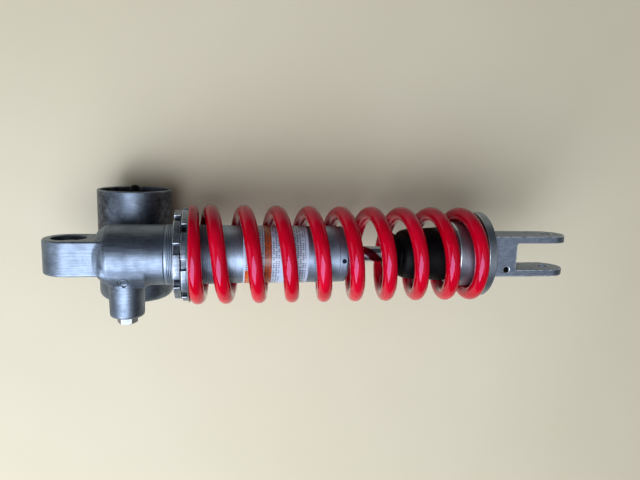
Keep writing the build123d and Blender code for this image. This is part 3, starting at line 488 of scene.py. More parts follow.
def printed_film():
    """Printed polyester film: bluish white, with orange bands and rows of dark dashes round the tube.

    A dash is the first part of one cell: the row is x over its pitch, and the place in the row is the turn
    round X times the tube's radius over the dashes' pitch. A few cells stay blank by chance. The print is
    1 mm high in life, drawn twice as large so that it shows.
    """
    row_pitch, dash_pitch = 2.3, 1.7
    blank_share, row_inked, dash_inked = 0.18, 0.6, 0.55
    material, tree, shader = finish("printed_film", Metallic=0.0, Roughness=0.28, IOR=1.57)
    place = add(tree, "TexCoord").outputs["Object"]
    axes = add(tree, "SeparateXYZ", {"Vector": place})
    low, high = (corner.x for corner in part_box("body_label"))
    along = add(tree, "MapRange", {"Value": axes.outputs["X"], "From Min": low, "From Max": high})
    bands = add(tree, "ValToRGB", {"Fac": along.outputs["Result"]},
                stops=[(0.0, "#B7C5DA"), (0.32, "#B04C1C"), (0.43, "#B7C5DA")])
    bands.color_ramp.interpolation = "CONSTANT"
    turn = add(tree, "Math", {0: axes.outputs["Z"], 1: axes.outputs["Y"]}, operation="ARCTAN2")
    first = add(tree, "ValToRGB", {"Fac": along.outputs["Result"]},
                stops=[(0.0, "#000000"), (0.02, "#FFFFFF"), (0.13, "#000000")])
    first.color_ramp.interpolation = "CONSTANT"
    lower_side = add(tree, "Math", {0: turn.outputs[0], 1: radians(112)}, operation="GREATER_THAN")
    block = add(tree, "Math", {0: first.outputs["Color"], 1: lower_side.outputs[0]}, operation="MULTIPLY")
    printed_ground = add(tree, "Mix", {"Factor": block.outputs[0], "A": bands.outputs["Color"],
                                       "B": colour("#D4601F")}, data_type="RGBA")
    row = add(tree, "Math", {0: axes.outputs["X"], 1: grain(row_pitch)}, operation="MULTIPLY")
    dash = add(tree, "Math", {0: turn.outputs[0], 1: TUBE_R / dash_pitch}, operation="MULTIPLY")
    row_number = add(tree, "Math", {0: row.outputs[0]}, operation="FLOOR")
    dash_number = add(tree, "Math", {0: dash.outputs[0]}, operation="FLOOR")
    cell = add(tree, "CombineXYZ", {"X": row_number.outputs[0], "Y": dash_number.outputs[0]})
    chance = add(tree, "TexWhiteNoise", {"Vector": cell.outputs["Vector"]}, noise_dimensions="2D")
    filled = add(tree, "Math", {0: chance.outputs["Value"], 1: blank_share}, operation="GREATER_THAN")
    row_share = add(tree, "Math", {0: row.outputs[0]}, operation="FRACT")
    dash_share = add(tree, "Math", {0: dash.outputs[0]}, operation="FRACT")
    in_row = add(tree, "Math", {0: row_share.outputs[0], 1: row_inked}, operation="LESS_THAN")
    in_dash = add(tree, "Math", {0: dash_share.outputs[0], 1: dash_inked}, operation="LESS_THAN")
    printed = add(tree, "ValToRGB", {"Fac": along.outputs["Result"]},
                  stops=[(0.0, "#000000"), (0.02, "#FFFFFF"), (0.13, "#000000"), (0.24, "#FFFFFF"),
                         (0.55, "#000000"), (0.72, "#FFFFFF"), (0.96, "#000000")])
    printed.color_ramp.interpolation = "CONSTANT"
    ink = add(tree, "Math", {0: filled.outputs[0], 1: in_row.outputs[0]}, operation="MULTIPLY")
    inked = add(tree, "Math", {0: ink.outputs[0], 1: in_dash.outputs[0]}, operation="MULTIPLY")
    ink_here = add(tree, "Math", {0: inked.outputs[0], 1: printed.outputs["Color"]}, operation="MULTIPLY")
    faded = add(tree, "Math", {0: ink_here.outputs[0], 1: 0.95}, operation="MULTIPLY")
    shown = add(tree, "Mix", {"Factor": faded.outputs[0], "A": printed_ground.outputs["Result"],
                              "B": colour("#262B3A")}, data_type="RGBA")
    tree.links.new(shown.outputs["Result"], shader.inputs["Base Color"])
    return material


def floor_paper():
    """Matt pale paper."""
    material, tree, shader = finish("pale_paper", Metallic=0.0, Roughness=0.75)
    place = add(tree, "TexCoord").outputs["Object"]
    cloud = add(tree, "TexNoise", {"Vector": place, "Scale": 3.0, "Detail": 3.0})
    tone = add(tree, "ValToRGB", {"Fac": cloud.outputs["Fac"]}, stops=[(0.3, "#CBC1A6"), (0.7, "#D1C8AF")])
    tree.links.new(tone.outputs["Color"], shader.inputs["Base Color"])
    return material


# Lines that run round X, as a lathe leaves them. They are under 0.3 mm apart in life, and drawn 0.8 or
# 0.9 mm apart so that they show.
ROUND_X = (1, 0.05, 0.05)
MATERIALS = {
    # Cast, then brushed by hand to a satin; mottled brown round the reservoir, deepened as painted shade low
    # down and at the back.
    # The brush lines are 0.2 mm wide in life, drawn 1.1 mm wide so that they show.
    "cast_aluminium": metal("brushed_cast_aluminium", "#808D9C", "#474E5A", "#A4B0BD", 0.44, cloud=14.0,
                            brush_shade=0.5, patina_and_shade=("#2C2226", -22.0, -36.0, -34.0, -8.0)),
    # Milled from bar, then tumbled to an even satin
    "forged_aluminium": metal("tumbled_aluminium", "#9AA7B8", "#697689", "#E6ECF6", 0.46,
                              brush=(0.4, 1, 1), brush_width=1.6, brush_shade=0.6, cloud=6.0),
    # Turned, with a satin of fine rings
    "turned_aluminium": metal("turned_aluminium", "#ABB7C4", "#636D7A", "#DFE6EE", 0.4,
                              brush=ROUND_X, brush_width=0.8, brush_shade=0.5),
    # Ground and polished round and round
    "tube_aluminium": metal("ground_aluminium", "#A0AFC1", "#6B7889", "#C5CFDD", 0.46,
                            brush=ROUND_X, brush_width=0.9, brush_shade=0.45),
    # Black anodising, dulled by dust and brown with age
    "black_aluminium": metal("black_anodised_aluminium", "#2A211C", "#181311", "#6A6460", 0.42),
    # Machined and left bare
    "plain_steel": metal("machined_steel", "#8A8F95", "#64676C", "#B9BEC5", 0.36,
                         brush=ROUND_X, brush_width=0.8),
    # Hardened and ground
    "bearing_steel": metal("ground_bearing_steel", "#8E9094", "#5A5A5C", "#CFCFCF", 0.24,
                           brush=(1, 1, 0.05), brush_width=0.8),
    # Plated steel with dark patches, painted shade in the notches, on the sides and in the bore, and teeth
    # rubbed bare
    "black_steel": metal("dulled_plated_steel", "#98A3B3", "#15171D", "#E0E6EF", 0.4,
                         brush=ROUND_X, brush_width=0.9, brush_shade=0.4, cloud=6.0),
    # Black oxide on spring steel and a set screw: dark grey, satin
    "blacked_steel": metal("black_oxide_steel", "#26262A", "#161618", "#5C5E63", 0.4,
                           brush=ROUND_X, brush_width=0.9),
    # Ground hard chrome: a mirror with hardly a line in it
    "hard_chrome": metal("hard_chrome", "#9BA1AB", "#9DA3AC", "#E6E8EA", 0.09,
                         brush=ROUND_X, brush_width=0.8, brush_shade=0.15, spread=0.04, depth=0.0005),
    # Turned brass, tarnished
    "brass_screw": metal("turned_brass", "#B39560", "#86693B", "#E0C68C", 0.34,
                         brush=ROUND_X, brush_width=0.8),
    # Sintered bronze, dull with oil
    "bush_bronze": metal("bearing_bronze", "#A07A50", "#7E5C3A", "#C9A377", 0.42,
                         brush=ROUND_X, brush_width=0.8),
    # Gloss powder coat: a deep red with one sharp highlight
    "red_spring_paint": red_powder_coat(),
    # Cellular rubber: the blackest and most matt thing here
    "stop_rubber": moulded_rubber("foam_rubber", "#020203", 0.5),
    # Nitrile from a polished mould
    "seal_rubber": moulded_rubber("nitrile_rubber", "#0A0A0B", 0.4),
    # Injection-moulded nylon
    "black_plastic": moulded_rubber("moulded_nylon", "#0E0E0F", 0.35),
    # Polyester film, printed and slightly glossy
    "label_film": printed_film(),
}


# Head casting and eye

NOSE_LENGTH = 8.5
NOSE_DROP = 6.0
PAD_HALF = 17.3
PAD_FACE_Y = -26.5
PAD_HALF_Z = 21.3
# The pad's high and low edges are bevelled: this far back from its face, and this far in from its side
BEVEL_BACK = 12.0
BEVEL_IN = 8.3
BOSS_R = 15.2
BOSS_TIP_R = 14.4
VALVE_BORE_R = 10.0
PLUG_MIDDLE = (CROSS_X, -20.5, 17.15)
PLUG_SEAT_R = 4.7


def casting_shape(p):
    """The head: barrel, eye lug, adjuster boss on its pad, web and reservoir, filleted, then bored."""
    x, y, z = p[..., 0], p[..., 1], p[..., 2]
    barrel = bar(p, 0, (0, 0), HEAD_R, HEAD_START, HEAD_END, 0.8)
    nose = leaning(HEAD_START + NOSE_LENGTH - x, NOSE_DROP, np.hypot(y, z) - HEAD_R, NOSE_LENGTH)
    barrel = round_max(barrel, nose, 1.5)
    drum = bar(p, 1, (0, 0), EYE_R, -EYE_HALF, EYE_HALF, 1.8)
    arm = slab(p, (-2, -EYE_HALF, -EYE_R), (HEAD_START + 9, EYE_HALF, EYE_R), 1.8)
    solid = round_min(barrel, np.minimum(drum, arm), 2.5)
    bevel = leaning(PAD_FACE_Y + BEVEL_BACK - y, BEVEL_IN, np.abs(z) - PAD_HALF_Z, BEVEL_BACK)
    block = slab(p, (CROSS_X - PAD_HALF, PAD_FACE_Y, -PAD_HALF_Z), (CROSS_X + PAD_HALF, 0, PAD_HALF_Z), 1.2)
    corner = leaning(8.2 - x, 1, -y, 1)
    pad = round_max(round_max(block, bevel, 1.2), corner, 3.0)
    solid = round_min(solid, pad, 3.0)
    taper = np.clip((PAD_FACE_Y + 2 - y) / (PAD_FACE_Y + 2 - BOSS_TIP_Y), 0, 1)
    boss_side = np.hypot(x - CROSS_X, z) - BOSS_R + (BOSS_R - BOSS_TIP_R) * taper
    boss = round_max(boss_side, np.abs(y - BOSS_TIP_Y / 2) + BOSS_TIP_Y / 2, 2.6)
    solid = round_min(solid, boss, 1.5)
    shell = bar(p, 1, (CROSS_X, RESERVOIR_Z), RESERVOIR_R, RESERVOIR_BOTTOM, RESERVOIR_TOP + 20, 8.0)
    reservoir = round_max(shell, y - RESERVOIR_TOP, 0.9)
    web = slab(p, (CROSS_X - 19, -20, -43), (CROSS_X + 19, 17, -13), 3.0)
    solid = round_min(solid, round_min(web, reservoir, 5.0), 4.0)
    eye_bore = bar(p, 1, (0, 0), RACE_R, -BEYOND, BEYOND, 0)
    chamber = bar(p, 0, (0, 0), TUBE_BORE_R, SPIGOT_START - 8, BEYOND, 0)
    spigot_bore = bar(p, 0, (0, 0), SPIGOT_R, SPIGOT_START, BEYOND, 0)
    valve_bore = bar(p, 1, (CROSS_X, 0), VALVE_BORE_R, -BEYOND, 10, 0)
    bag_bore = bar(p, 1, (CROSS_X, RESERVOIR_Z), RESERVOIR_BORE_R, RESERVOIR_BOTTOM + 4, BEYOND, 0)
    oil_way = bar(p, 2, (CROSS_X, -15.0), 3.5, -33.4, 0, 0)
    holes = np.min([eye_bore, chamber, spigot_bore, valve_bore, bag_bore, oil_way], axis=0)
    solid = round_max(solid, -holes, 0.7)
    across = leaning(y - PLUG_MIDDLE[1], BEVEL_BACK, z - PLUG_MIDDLE[2], BEVEL_IN)
    plug_seat = np.maximum(np.hypot(x - CROSS_X, across) - PLUG_SEAT_R, -bevel - 0.15)
    return round_max(solid, -plug_seat, 0.25)


def passage_plug_piece():
    """The pressed plug: a dished disc turned round the bevel's normal, its rim 0.5 proud of the bevel."""
    columns = 48
    profile = [(-1.5, 3.9), (0.5, 3.9), (0.5, 3.0), (0.1, 2.3), (0.1, 0.02), (-1.5, 0.02)]
    outline, worn = rounded(profile, 0.3)
    out = np.array([0.0, -BEVEL_IN, BEVEL_BACK]) / np.hypot(BEVEL_IN, BEVEL_BACK)
    across = np.array([1.0, 0.0, 0.0])
    ways = np.stack([out, across, np.cross(out, across)])
    points = lathe(outline, columns) @ ways + np.array(PLUG_MIDDLE)
    piece = make_piece("passage_plug_piece", points, grid_faces(len(outline), columns, True, True),
                       MATERIALS["cast_aluminium"], {"edge": np.repeat(worn * 0.4, columns)})
    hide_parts("passage_plug")
    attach(piece, "damper_body")


carved_piece("head_casting_piece", casting_shape, "cast_aluminium", "damper_body", "head_casting",
             low=(-22.5, -55.2, -95.1), high=(79.2, 52.6, 27.6), step=1.0, wear=0.5)
passage_plug_piece()

RACE_OUTER_R = RACE_R - FIT_GAP
turned_piece("bearing_race_piece",
             [(-8, RACE_OUTER_R), (-8, 10.4), (-6, 10.7), (-3, 11.9), (0, 12.25), (3, 11.9), (6, 10.7),
              (8, 10.4), (8, RACE_OUTER_R)],
             "bearing_steel", "damper_body", "eye_bearing_race", edge=0.4, axis=1)
BALL_TURNS = np.radians(np.linspace(-47.5, 47.5, 15))
turned_piece("bearing_ball_piece",
             [(BALL_R * sin(turn), BALL_R * cos(turn)) for turn in BALL_TURNS]
             + [(9.0, SLEEVE_R + 0.05), (-9.0, SLEEVE_R + 0.05)],
             "bearing_steel", "eye_ball", "eye_bearing_ball", edge=0.3, axis=1)
turned_piece("eye_sleeve_piece",
             [(-11.5, UPPER_BOLT_R), (-11.5, SLEEVE_R), (11.5, SLEEVE_R), (11.5, UPPER_BOLT_R)],
             "plain_steel", "eye_sleeve", "eye_sleeve", edge=0.7, axis=1)


# Adjuster, reservoir cap

HEX_HALF = 7.5
HEX_TIP_Y = -60.05
HEX_BACK_Y = -53.85


def hexagon_shape(p):
    """The high-speed adjuster: a hexagon with a turned bevel on its corners, its shank and its bore."""
    x, y, z = p[..., 0] - CROSS_X, p[..., 1], p[..., 2]
    turns = pi / 6 + np.arange(6) * pi / 3
    flats = np.max([x * cos(turn) + z * sin(turn) for turn in turns], axis=0) - HEX_HALF
    ends = np.abs(y - (HEX_TIP_Y + HEX_BACK_Y) / 2) - (HEX_BACK_Y - HEX_TIP_Y) / 2
    bevel = leaning(np.hypot(x, z) - 8.76, 1, HEX_TIP_Y + 1.2 - y, 1.4)
    head = round_max(round_max(flats, ends, 0.4), bevel, 0.3)
    shank = bar(p, 1, (CROSS_X, 0), VALVE_BORE_R - 0.05, -54.35, -39.7, 0.3)
    bore = bar(p, 1, (CROSS_X, 0), 3.2, -BEYOND, 0, 0)
    return round_max(np.minimum(head, shank), -bore, 0.3)


carved_piece("high_speed_adjuster_piece", hexagon_shape, "plain_steel", "high_speed_adjuster",
             "high_speed_adjuster", low=(34.0, -60.7, -10.6), high=(56.0, -39.0, 10.6), step=0.34)

CAP_MIDDLE = (CROSS_X, RESERVOIR_Z)
CAP_R = RESERVOIR_BORE_R - 0.05
turned_piece("reservoir_cap_piece",
             [(37, 3.0), (37, 28.5), (39, 28.5), (39, CAP_R), (45.85, CAP_R), (45.85, 26.5), (44.8, 25.5),
              (44.8, 12.0), (44.2, 11.2), (44.2, 3.0)],
             "black_aluminium", "damper_body", "reservoir_cap", edge=0.4, axis=1, middle=CAP_MIDDLE)
turned_piece("valve_cap_piece",
             [(45.0, 3.0), (45.0, 4.3), (52.0, 4.3), (54.2, 3.3), (55.0, 1.6), (55.0, 0.02), (51.0, 0.02),
              (51.0, 3.0)],
             "black_plastic", "damper_body", "gas_valve_cap", edge=0.5, columns=48, axis=1, middle=CAP_MIDDLE)


# Damper tube, rings and rod

THREAD_PITCH = 1.5
# Under half of the real thread's depth, so that its flanks don't read as black lines
THREAD_DEPTH = 0.35


def tube_piece():
    """The tube: a turned wall with a thread, a groove that follows station / pitch less the share of a turn.

    Beyond the thread the wall comes down to its plain radius in one long even taper. The thread fades in
    and out over 1.5 mm at its ends. Only the shoulder against the head is rubbed bright.
    """
    columns, fade = 144, 1.5
    shoulder, spigot_r = HEAD_END + 0.15, SPIGOT_R - FIT_GAP
    outline, worn = rounded([(SPIGOT_START + 0.2, TUBE_BORE_R), (SPIGOT_START + 0.2, spigot_r),
                             (shoulder, spigot_r), (shoulder, THREAD_R), (THREAD_END, THREAD_R),
                             (TAPER_END, TUBE_R), (TUBE_END, TUBE_R), (TUBE_END, TUBE_BORE_R)], 0.35)
    stations = np.arange(THREAD_START, THREAD_END, THREAD_PITCH / 8)
    dense = np.column_stack([stations, np.full(len(stations), THREAD_R)])
    before = (outline[:, 0] < THREAD_START).argmin()
    outline = np.concatenate([outline[:before], dense, outline[before:]])
    worn = np.concatenate([worn[:before], np.zeros(len(dense)), worn[before:]])
    worn = 0.3 * worn * (outline[:, 0] < THREAD_END - 20)
    station, radius = outline[:, :1], outline[:, 1:]
    turn = np.linspace(0, 1, columns, endpoint=False)
    phase = (station / THREAD_PITCH - turn) % 1
    groove = 1 - np.clip(np.abs(phase - 0.5) * 2.6 - 0.2, 0, 1)
    fade_in = np.clip((station - THREAD_START - 0.5) / fade, 0, 1)
    fade_out = np.clip((THREAD_END - 1 - station) / fade, 0, 1)
    cut = groove * fade_in * fade_out * (radius > THREAD_R - 0.001)
    cut_radius = radius - THREAD_DEPTH * cut
    angle = turn * 2 * pi
    points = np.stack([np.repeat(station, columns, 1), cut_radius * np.cos(angle),
                       cut_radius * np.sin(angle)], -1)
    # The thread's groove is darkened towards the dull colour: painted shade
    marks = {"edge": np.repeat(worn[:, None], columns, 1), "hollow_shade": cut * 0.7}
    piece = make_piece("damper_tube_piece", points.reshape(-1, 3),
                       grid_faces(len(outline), columns, True, True),
                       MATERIALS["tube_aluminium"], marks)
    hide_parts("damper_tube")
    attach(piece, "damper_body")


def end_cap_shape(p):
    """The tube's end cap: a ring with a rounded rim, a pocket for the wiper and three pin holes."""
    cap_r, spigot_start, past = 25.0, 220.5, BODY_END + 10
    pin_x, pin_r, pin_floor = 230.25, 2.0, 13.0
    rim = bar(p, 0, (0, 0), cap_r, TUBE_END + 0.15, past, 0.25)
    rim = round_max(rim, p[..., 0] - BODY_END, 2.0)
    body = np.minimum(rim, bar(p, 0, (0, 0), TUBE_BORE_R - FIT_GAP, spigot_start, 228, 0.2))
    rod_hole = bar(p, 0, (0, 0), ROD_R + 1.5, spigot_start - 10, past, 0)
    wiper_pocket = bar(p, 0, (0, 0), 11.5, 228.5, past, 0)
    pins = []
    for turn in (4.0, 124.0, 244.0):
        out = -p[..., 1] * sin(radians(turn)) + p[..., 2] * cos(radians(turn))
        side = p[..., 1] * cos(radians(turn)) + p[..., 2] * sin(radians(turn))
        pins.append(np.maximum(np.hypot(p[..., 0] - pin_x, side) - pin_r, pin_floor - out))
    body = round_max(body, -np.minimum(rod_hole, wiper_pocket), 0.3)
    return round_max(body, -np.min(pins, axis=0), 0.08)


tube_piece()
carved_piece("tube_end_cap_piece", end_cap_shape, "tube_aluminium", "damper_body", "tube_end_cap",
             low=(219.8, -25.7, -25.7), high=(235.2, 25.7, 25.7), step=0.42, wear=0.1)
LABEL_UNDER_R, LABEL_R = TUBE_R + 0.03, TUBE_R + 0.23
turned_piece("body_label_piece",
             [(143.0, LABEL_UNDER_R), (143.0, LABEL_R), (198.5, LABEL_R), (198.5, LABEL_UNDER_R)],
             "label_film", "damper_body", "body_label", edge=0.08)


def castellated_piece(name, node, start, thick, outer, notch_angle):
    """A threaded ring whose outline is eight arcs and eight square notches, with every edge rounded.

    The outline is repeated at each station, moved in along its own normal by one less the sine, or one less
    the cosine, of a quarter turn. The bore's lines follow, each a circle with the outline's angles.
    """
    teeth, edge, chamfer = 8, 0.6, 0.7
    notch_half, notch_floor = 4.3, outer - 3.4
    share = 2 * pi / teeth
    arc_start = np.arcsin(notch_half / outer)
    arc = np.linspace(arc_start, share - arc_start, 7)
    one = [(notch_floor, -notch_half), (notch_floor, notch_half)]
    one += [(outer * cos(a), outer * sin(a)) for a in arc]
    turned = []
    for i in range(teeth):
        a = radians(notch_angle) + i * share
        turned += [(y * cos(a) - z * sin(a), y * sin(a) + z * cos(a)) for y, z in one]
    outline, corner = rounded(turned, 0.7, 3)
    tangent = np.roll(outline, -1, 0) - np.roll(outline, 1, 0)
    normal = np.column_stack([tangent[:, 1], -tangent[:, 0]])
    normal /= np.linalg.norm(normal, axis=1, keepdims=True)
    way = np.arctan2(outline[:, 1], outline[:, 0])
    round_way = np.column_stack([np.cos(way), np.sin(way)])
    quarter = np.linspace(0, pi / 2, 5)
    end = start + thick
    rows = [(start, edge + 0.5, 0)]
    rows += [(start + edge * (1 - cos(a)), edge * (1 - sin(a)), sin(2 * a)) for a in quarter]
    rows += [(end - edge * (1 - sin(a)), edge * (1 - cos(a)), sin(2 * a)) for a in quarter]
    rows += [(end, edge + 0.5, 0)]
    bore = THREAD_R + 0.05
    inner = [(end, bore + chamfer), (end - chamfer, bore), (start + chamfer, bore), (start, bore + chamfer)]
    lines = [np.column_stack([np.full(len(outline), x), outline - normal * inset]) for x, inset, _ in rows]
    lines += [np.column_stack([np.full(len(outline), x), round_way * radius]) for x, radius in inner]
    worn = np.array([mark for _, _, mark in rows] + [0, 0.6, 0.6, 0])
    on_teeth = np.arange(len(worn)) < len(rows)
    edge_mark = np.clip(worn[:, None] + 0.6 * corner[None] * on_teeth[:, None], 0, 1)
    # The notches, the side faces and the bore are darkened towards near black: painted shade
    notch_shade = 0.7 * np.clip((outer - 0.8 - np.linalg.norm(outline, axis=1)) / 1.5, 0, 1)
    side_shade = 0.8 * np.array([inset > edge / 2 for _, inset, _ in rows] + [True] * len(inner))
    hollow_shade_mark = np.maximum(side_shade[:, None], notch_shade[None])
    piece = make_piece(name, np.concatenate(lines), grid_faces(len(lines), len(outline), True, True),
                       MATERIALS["black_steel"], {"edge": edge_mark, "hollow_shade": hollow_shade_mark})
    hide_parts(node)
    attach(piece, node)


castellated_piece("lock_ring_piece", "lock_ring", start=86.1, thick=5.9, outer=38.5, notch_angle=72.5)
castellated_piece("preload_ring_piece", "preload_ring", start=92.6, thick=4.8, outer=40.0,
                  notch_angle=91.7)

turned_piece("piston_rod_piece",
             [(163.9, NEEDLE_BORE_R), (163.9, 5.0), (185.0, 5.0), (185.0, ROD_R), (ROD_END, ROD_R),
              (ROD_END, NEEDLE_BORE_R)],
             "hard_chrome", "rod", "piston_rod", edge=0.4)
turned_piece("slip_washer_piece",
             [(97.55, 26.4), (97.55, 41.5), (98.3, 41.5), (98.3, 30.1), (102.35, 30.1), (103.35, 29.1),
              (103.35, 26.4)],
             "plain_steel", "preload_seat", "spring_slip_washer", edge=0.2)
turned_piece("spring_seat_piece",
             [(333.0, 16.05), (333.0, 27.5), (335.5, 30.0), (357.7, 30.0), (357.7, SEAT_R - 0.5),
              (358.2, SEAT_R), (FLANGE_END - 0.5, SEAT_R), (FLANGE_END, SEAT_R - 0.5), (FLANGE_END, 15.05),
              (334.0, 15.05)],
             "turned_aluminium", "lower_seat", "spring_seat", edge=0.7)
turned_piece("bump_stop_cup_piece",
             [(330.55, ROD_R + FIT_GAP), (330.55, 25.0), (331.95, 25.0), (331.95, ROD_R + FIT_GAP)],
             "plain_steel", "rod", "bump_stop_cup", edge=0.3)

# The bump stop, from its narrow end: a bead, a neck, then a body that widens to the cup
BUMP_OUTLINE = [(0, 9.0), (0, 16.5), (2.0, 19.0), (5.0, 19.5), (7.5, 19.0), (10.5, 16.4), (13.5, 21.0),
                (18.5, 22.8), (26.0, 23.3), (45.0, 24.4), (53.0, 25.0), (56.5, 24.6), (57.0, 24.0),
                (57.0, 7.4), (4.0, 7.4)]
bump_stop = turned_piece("bump_stop_piece",
                         [(BUMP_START + along, radius) for along, radius in BUMP_OUTLINE],
                         "stop_rubber", "rod", "bump_stop", edge=2.0)
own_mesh(bump_stop)


# Coil spring

SPRING_PHASE = radians(-101.0)
# What the grinding leaves of the wire's thickness at each tip
TIP_LEFT = 3.6
# Turns that stay closed at each end, and the turn where one piece ends and the next starts
FIRST_CLOSED = 0.7
LAST_CLOSED = 0.55
BLEND_TURN = 3.0
# The turns where the coils start to open and start to close, and how many turns each takes
OPEN_FROM, OPEN_OVER = 0.65, 0.8
CLOSE_FROM, CLOSE_OVER = SPRING_TURNS - 0.9, 0.45
WIRE_COLUMNS = 40
RINGS_IN_A_TURN = 110


def opened(turns):
    """How many turns' worth of full opening lies before each turn.

    The opening rises from 0 to 1, stays there, and falls back to 0. Each change is the smooth step
    3 u^2 - 2 u^3, and area is that step's integral.
    """
    def area(u):
        return np.where(u <= 0, 0, np.where(u < 1, u ** 3 - u ** 4 / 2, u - 0.5))
    rise = OPEN_OVER * area((turns - OPEN_FROM) / OPEN_OVER)
    fall = CLOSE_OVER * area((turns - CLOSE_FROM) / CLOSE_OVER)
    return rise - fall


def spring_station(turns):
    """The wire's place along X after some turns: closed coils at each end, evenly open ones between."""
    first, last = SPRING_START + TIP_LEFT - WIRE_R, SPRING_END + 0.05 - TIP_LEFT + WIRE_R
    closed = 2 * WIRE_R + 0.2
    whole = opened(np.array([SPRING_TURNS]))[0]
    spread = (last - first - closed * SPRING_TURNS) / whole
    return first + closed * turns + spread * opened(turns)


def spring_piece(name, start, end, bodies, first_moved, last_moved):
    """A round wire carried along the coil from one turn to another, cut flat where it meets its seats.

    The wire's circle lies across the coil's own tangent: its first way is out from the axis, its second is
    the tangent crossed with that. Each ring of points carries one share of the joint's motion, which grows
    evenly from the first turn that moves to the last.
    """
    rings = int((end - start) * RINGS_IN_A_TURN)
    turns = np.linspace(start, end, rings)
    angle = SPRING_PHASE + 2 * pi * turns
    coil_r = SPRING_R - WIRE_R
    out = np.column_stack([np.zeros(rings), np.cos(angle), np.sin(angle)])
    centre = np.column_stack([spring_station(turns), coil_r * out[:, 1:]])
    round_the_axis = np.column_stack([-coil_r * out[:, 2], coil_r * out[:, 1]])
    ahead = np.column_stack([np.gradient(centre[:, 0], angle), round_the_axis])
    ahead /= np.linalg.norm(ahead, axis=1, keepdims=True)
    side = np.cross(ahead, out)
    wire = np.linspace(0, 2 * pi, WIRE_COLUMNS, endpoint=False)[None, :, None]
    points = centre[:, None] + WIRE_R * (np.cos(wire) * out[:, None] + np.sin(wire) * side[:, None])
    shrink = np.linspace(0.94, 0.0, 5)[:, None, None]
    first_tip, last_tip = (centre[i] + (points[i] - centre[i])[None] * shrink for i in (0, -1))
    points = np.concatenate([first_tip[::-1], points, last_tip])
    points[..., 0] = np.clip(points[..., 0], SPRING_START, SPRING_END)
    share = np.clip((turns - first_moved) / (last_moved - first_moved), 0, 1)
    share = np.pad(share, len(shrink), "edge")
    piece = make_piece(name, points.reshape(-1, 3), grid_faces(len(points), WIRE_COLUMNS, False, True),
                       MATERIALS["red_spring_paint"])
    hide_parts("coil_spring")
    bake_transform(piece, *bodies, start=(SPRING_START * METRES, 0, 0), end=(SPRING_END * METRES, 0, 0))
    layer = piece.data.attributes["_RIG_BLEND"]
    layer.data.foreach_set("value", np.repeat(share, WIRE_COLUMNS).astype(np.float32))


spring_piece("coil_spring_first_coils", 0.0, BLEND_TURN, ("preload_seat", "damper_body"),
             FIRST_CLOSED, BLEND_TURN)
spring_piece("coil_spring_main_coils", BLEND_TURN, SPRING_TURNS, ("damper_body", "lower_seat"),
             BLEND_TURN, SPRING_TURNS - LAST_CLOSED)


# Clevis

def clevis_shape(p):
    """The fork: a bar with a round end, slotted, with its shank, pin bore and adjuster holes."""
    x, y, z = p[..., 0], p[..., 1], p[..., 2]
    length = np.abs(x - (CLEVIS_START + PIN_X) / 2) - (PIN_X - CLEVIS_START) / 2
    straight = np.maximum(length, np.abs(z) - CLEVIS_HALF_Z)
    outline = np.minimum(straight, np.hypot(x - PIN_X, z) - CLEVIS_HALF_Z)
    fork = round_max(outline, np.abs(y) - CLEVIS_HALF, 1.1)
    slot = round_max(SLOT_START - x, np.abs(y) - SLOT_HALF, 2.0)
    fork = round_max(fork, -slot, 0.5)
    fork = np.minimum(fork, bar(p, 0, (0, 0), 15.0, 332.0, CLEVIS_START + 2, 0.5))
    pin_bore = bar(p, 1, (PIN_X, 0), 5.0, -BEYOND, BEYOND, 0)
    rod_bore = bar(p, 0, (0, 0), ROD_R + FIT_GAP, 300, ROD_END + 0.15, 0)
    needle_bore = bar(p, 0, (0, 0), NEEDLE_BORE_R, 370, REBOUND_X, 0)
    adjuster_bore = bar(p, 1, (REBOUND_X, 0), 4.0, -BEYOND, 6.0, 0)
    detent_bore = bar(p, 2, (REBOUND_X, -12.4), 2.8, 0, BEYOND, 0)
    holes = np.min([pin_bore, rod_bore, needle_bore, adjuster_bore, detent_bore], axis=0)
    return round_max(fork, -holes, 0.45)


carved_piece("clevis_piece", clevis_shape, "forged_aluminium", "rod", "clevis",
             low=(331.2, -19.9, -17.7), high=(451.9, 19.9, 17.7), step=0.6)


# The nodes that keep their own meshes

BLACKED = ["eye_snap_rings", "reservoir_snap_ring", "tube_snap_ring", "detent_plug"]
for subpart in frame["record"]["subparts"]:
    mesh = frame["nodes"][subpart["node"]].data
    mesh.materials.clear()
    slot = "blacked_steel" if subpart["node"] in BLACKED else subpart["material_slot"]
    mesh.materials.append(MATERIALS[slot])


# Floor, light and camera: from here on in metres

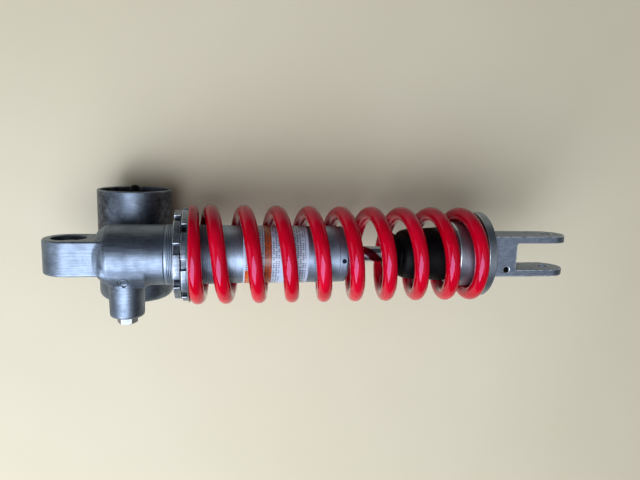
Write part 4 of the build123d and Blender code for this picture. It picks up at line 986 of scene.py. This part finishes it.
FLOOR_HALF = 3.0
EYE = (0.0, 0.0, 0.0)
MIDDLE = (0.2, 0.0, 0.0)
floor_z = (RESERVOIR_Z - RESERVOIR_R) * METRES
floor_mesh = bpy.data.meshes.new("floor")
floor_corners = [(-FLOOR_HALF, -FLOOR_HALF), (FLOOR_HALF, -FLOOR_HALF), (FLOOR_HALF, FLOOR_HALF),
                 (-FLOOR_HALF, FLOOR_HALF)]
floor_mesh.from_pydata([(x, y, floor_z) for x, y in floor_corners], [], [(0, 1, 2, 3)])
floor_mesh.materials.append(floor_paper())
floor = bpy.data.objects.new("floor", floor_mesh)
bpy.context.scene.collection.objects.link(floor)


def softbox(name, place, target, code, width, height, watts):
    """A rectangular light that faces a point."""
    light = bpy.data.lights.new(name, "AREA")
    light.shape = "RECTANGLE"
    light.size, light.size_y = width, height
    light.energy = watts
    light.color = colour(code)[:3]
    holder = bpy.data.objects.new(name, light)
    holder.location = place
    away = np.array(place) - np.array(target)
    lean = np.arctan2(np.hypot(away[0], away[1]), away[2])
    holder.rotation_euler = (lean, 0, np.arctan2(away[1], away[0]) + pi / 2)
    bpy.context.scene.collection.objects.link(holder)


# A broad cool key from the front, a weak warm one from above, and a small one off the eye's end
softbox("key", (-0.33, -0.70, 1.18), MIDDLE, "#E6EEFD", width=1.1, height=1.9, watts=42.0)
softbox("fill", (0.7, -0.3, 2.2), MIDDLE, "#FFFAF2", width=2.6, height=2.6, watts=8.0)
softbox("end", (-1.1, -0.1, 0.5), EYE, "#F0F4FC", width=0.9, height=0.9, watts=3.0)

world = bpy.data.worlds.new("room")
bpy.context.scene.world = world
world.use_nodes = True
room = world.node_tree.nodes["Background"]
room.inputs["Color"].default_value = colour("#E8ECF4")
room.inputs["Strength"].default_value = 0.09

# Nearly straight down, from a little behind the shock and nearer its eye, turned towards the clevis
camera_data = bpy.data.cameras.new("camera")
camera_data.lens = 31.26
camera_data.sensor_width = 36.0
camera_data.sensor_fit = "HORIZONTAL"
camera_data.clip_start = 0.01
camera = bpy.data.objects.new("camera", camera_data)
camera.location = (0.12408, 0.09641, 0.48534)
camera.rotation_euler = [radians(turn) for turn in (-9.942, -9.994, 1.808)]
bpy.context.scene.collection.objects.link(camera)
bpy.context.scene.camera = camera
bpy.context.scene.view_settings.view_transform = "Standard"
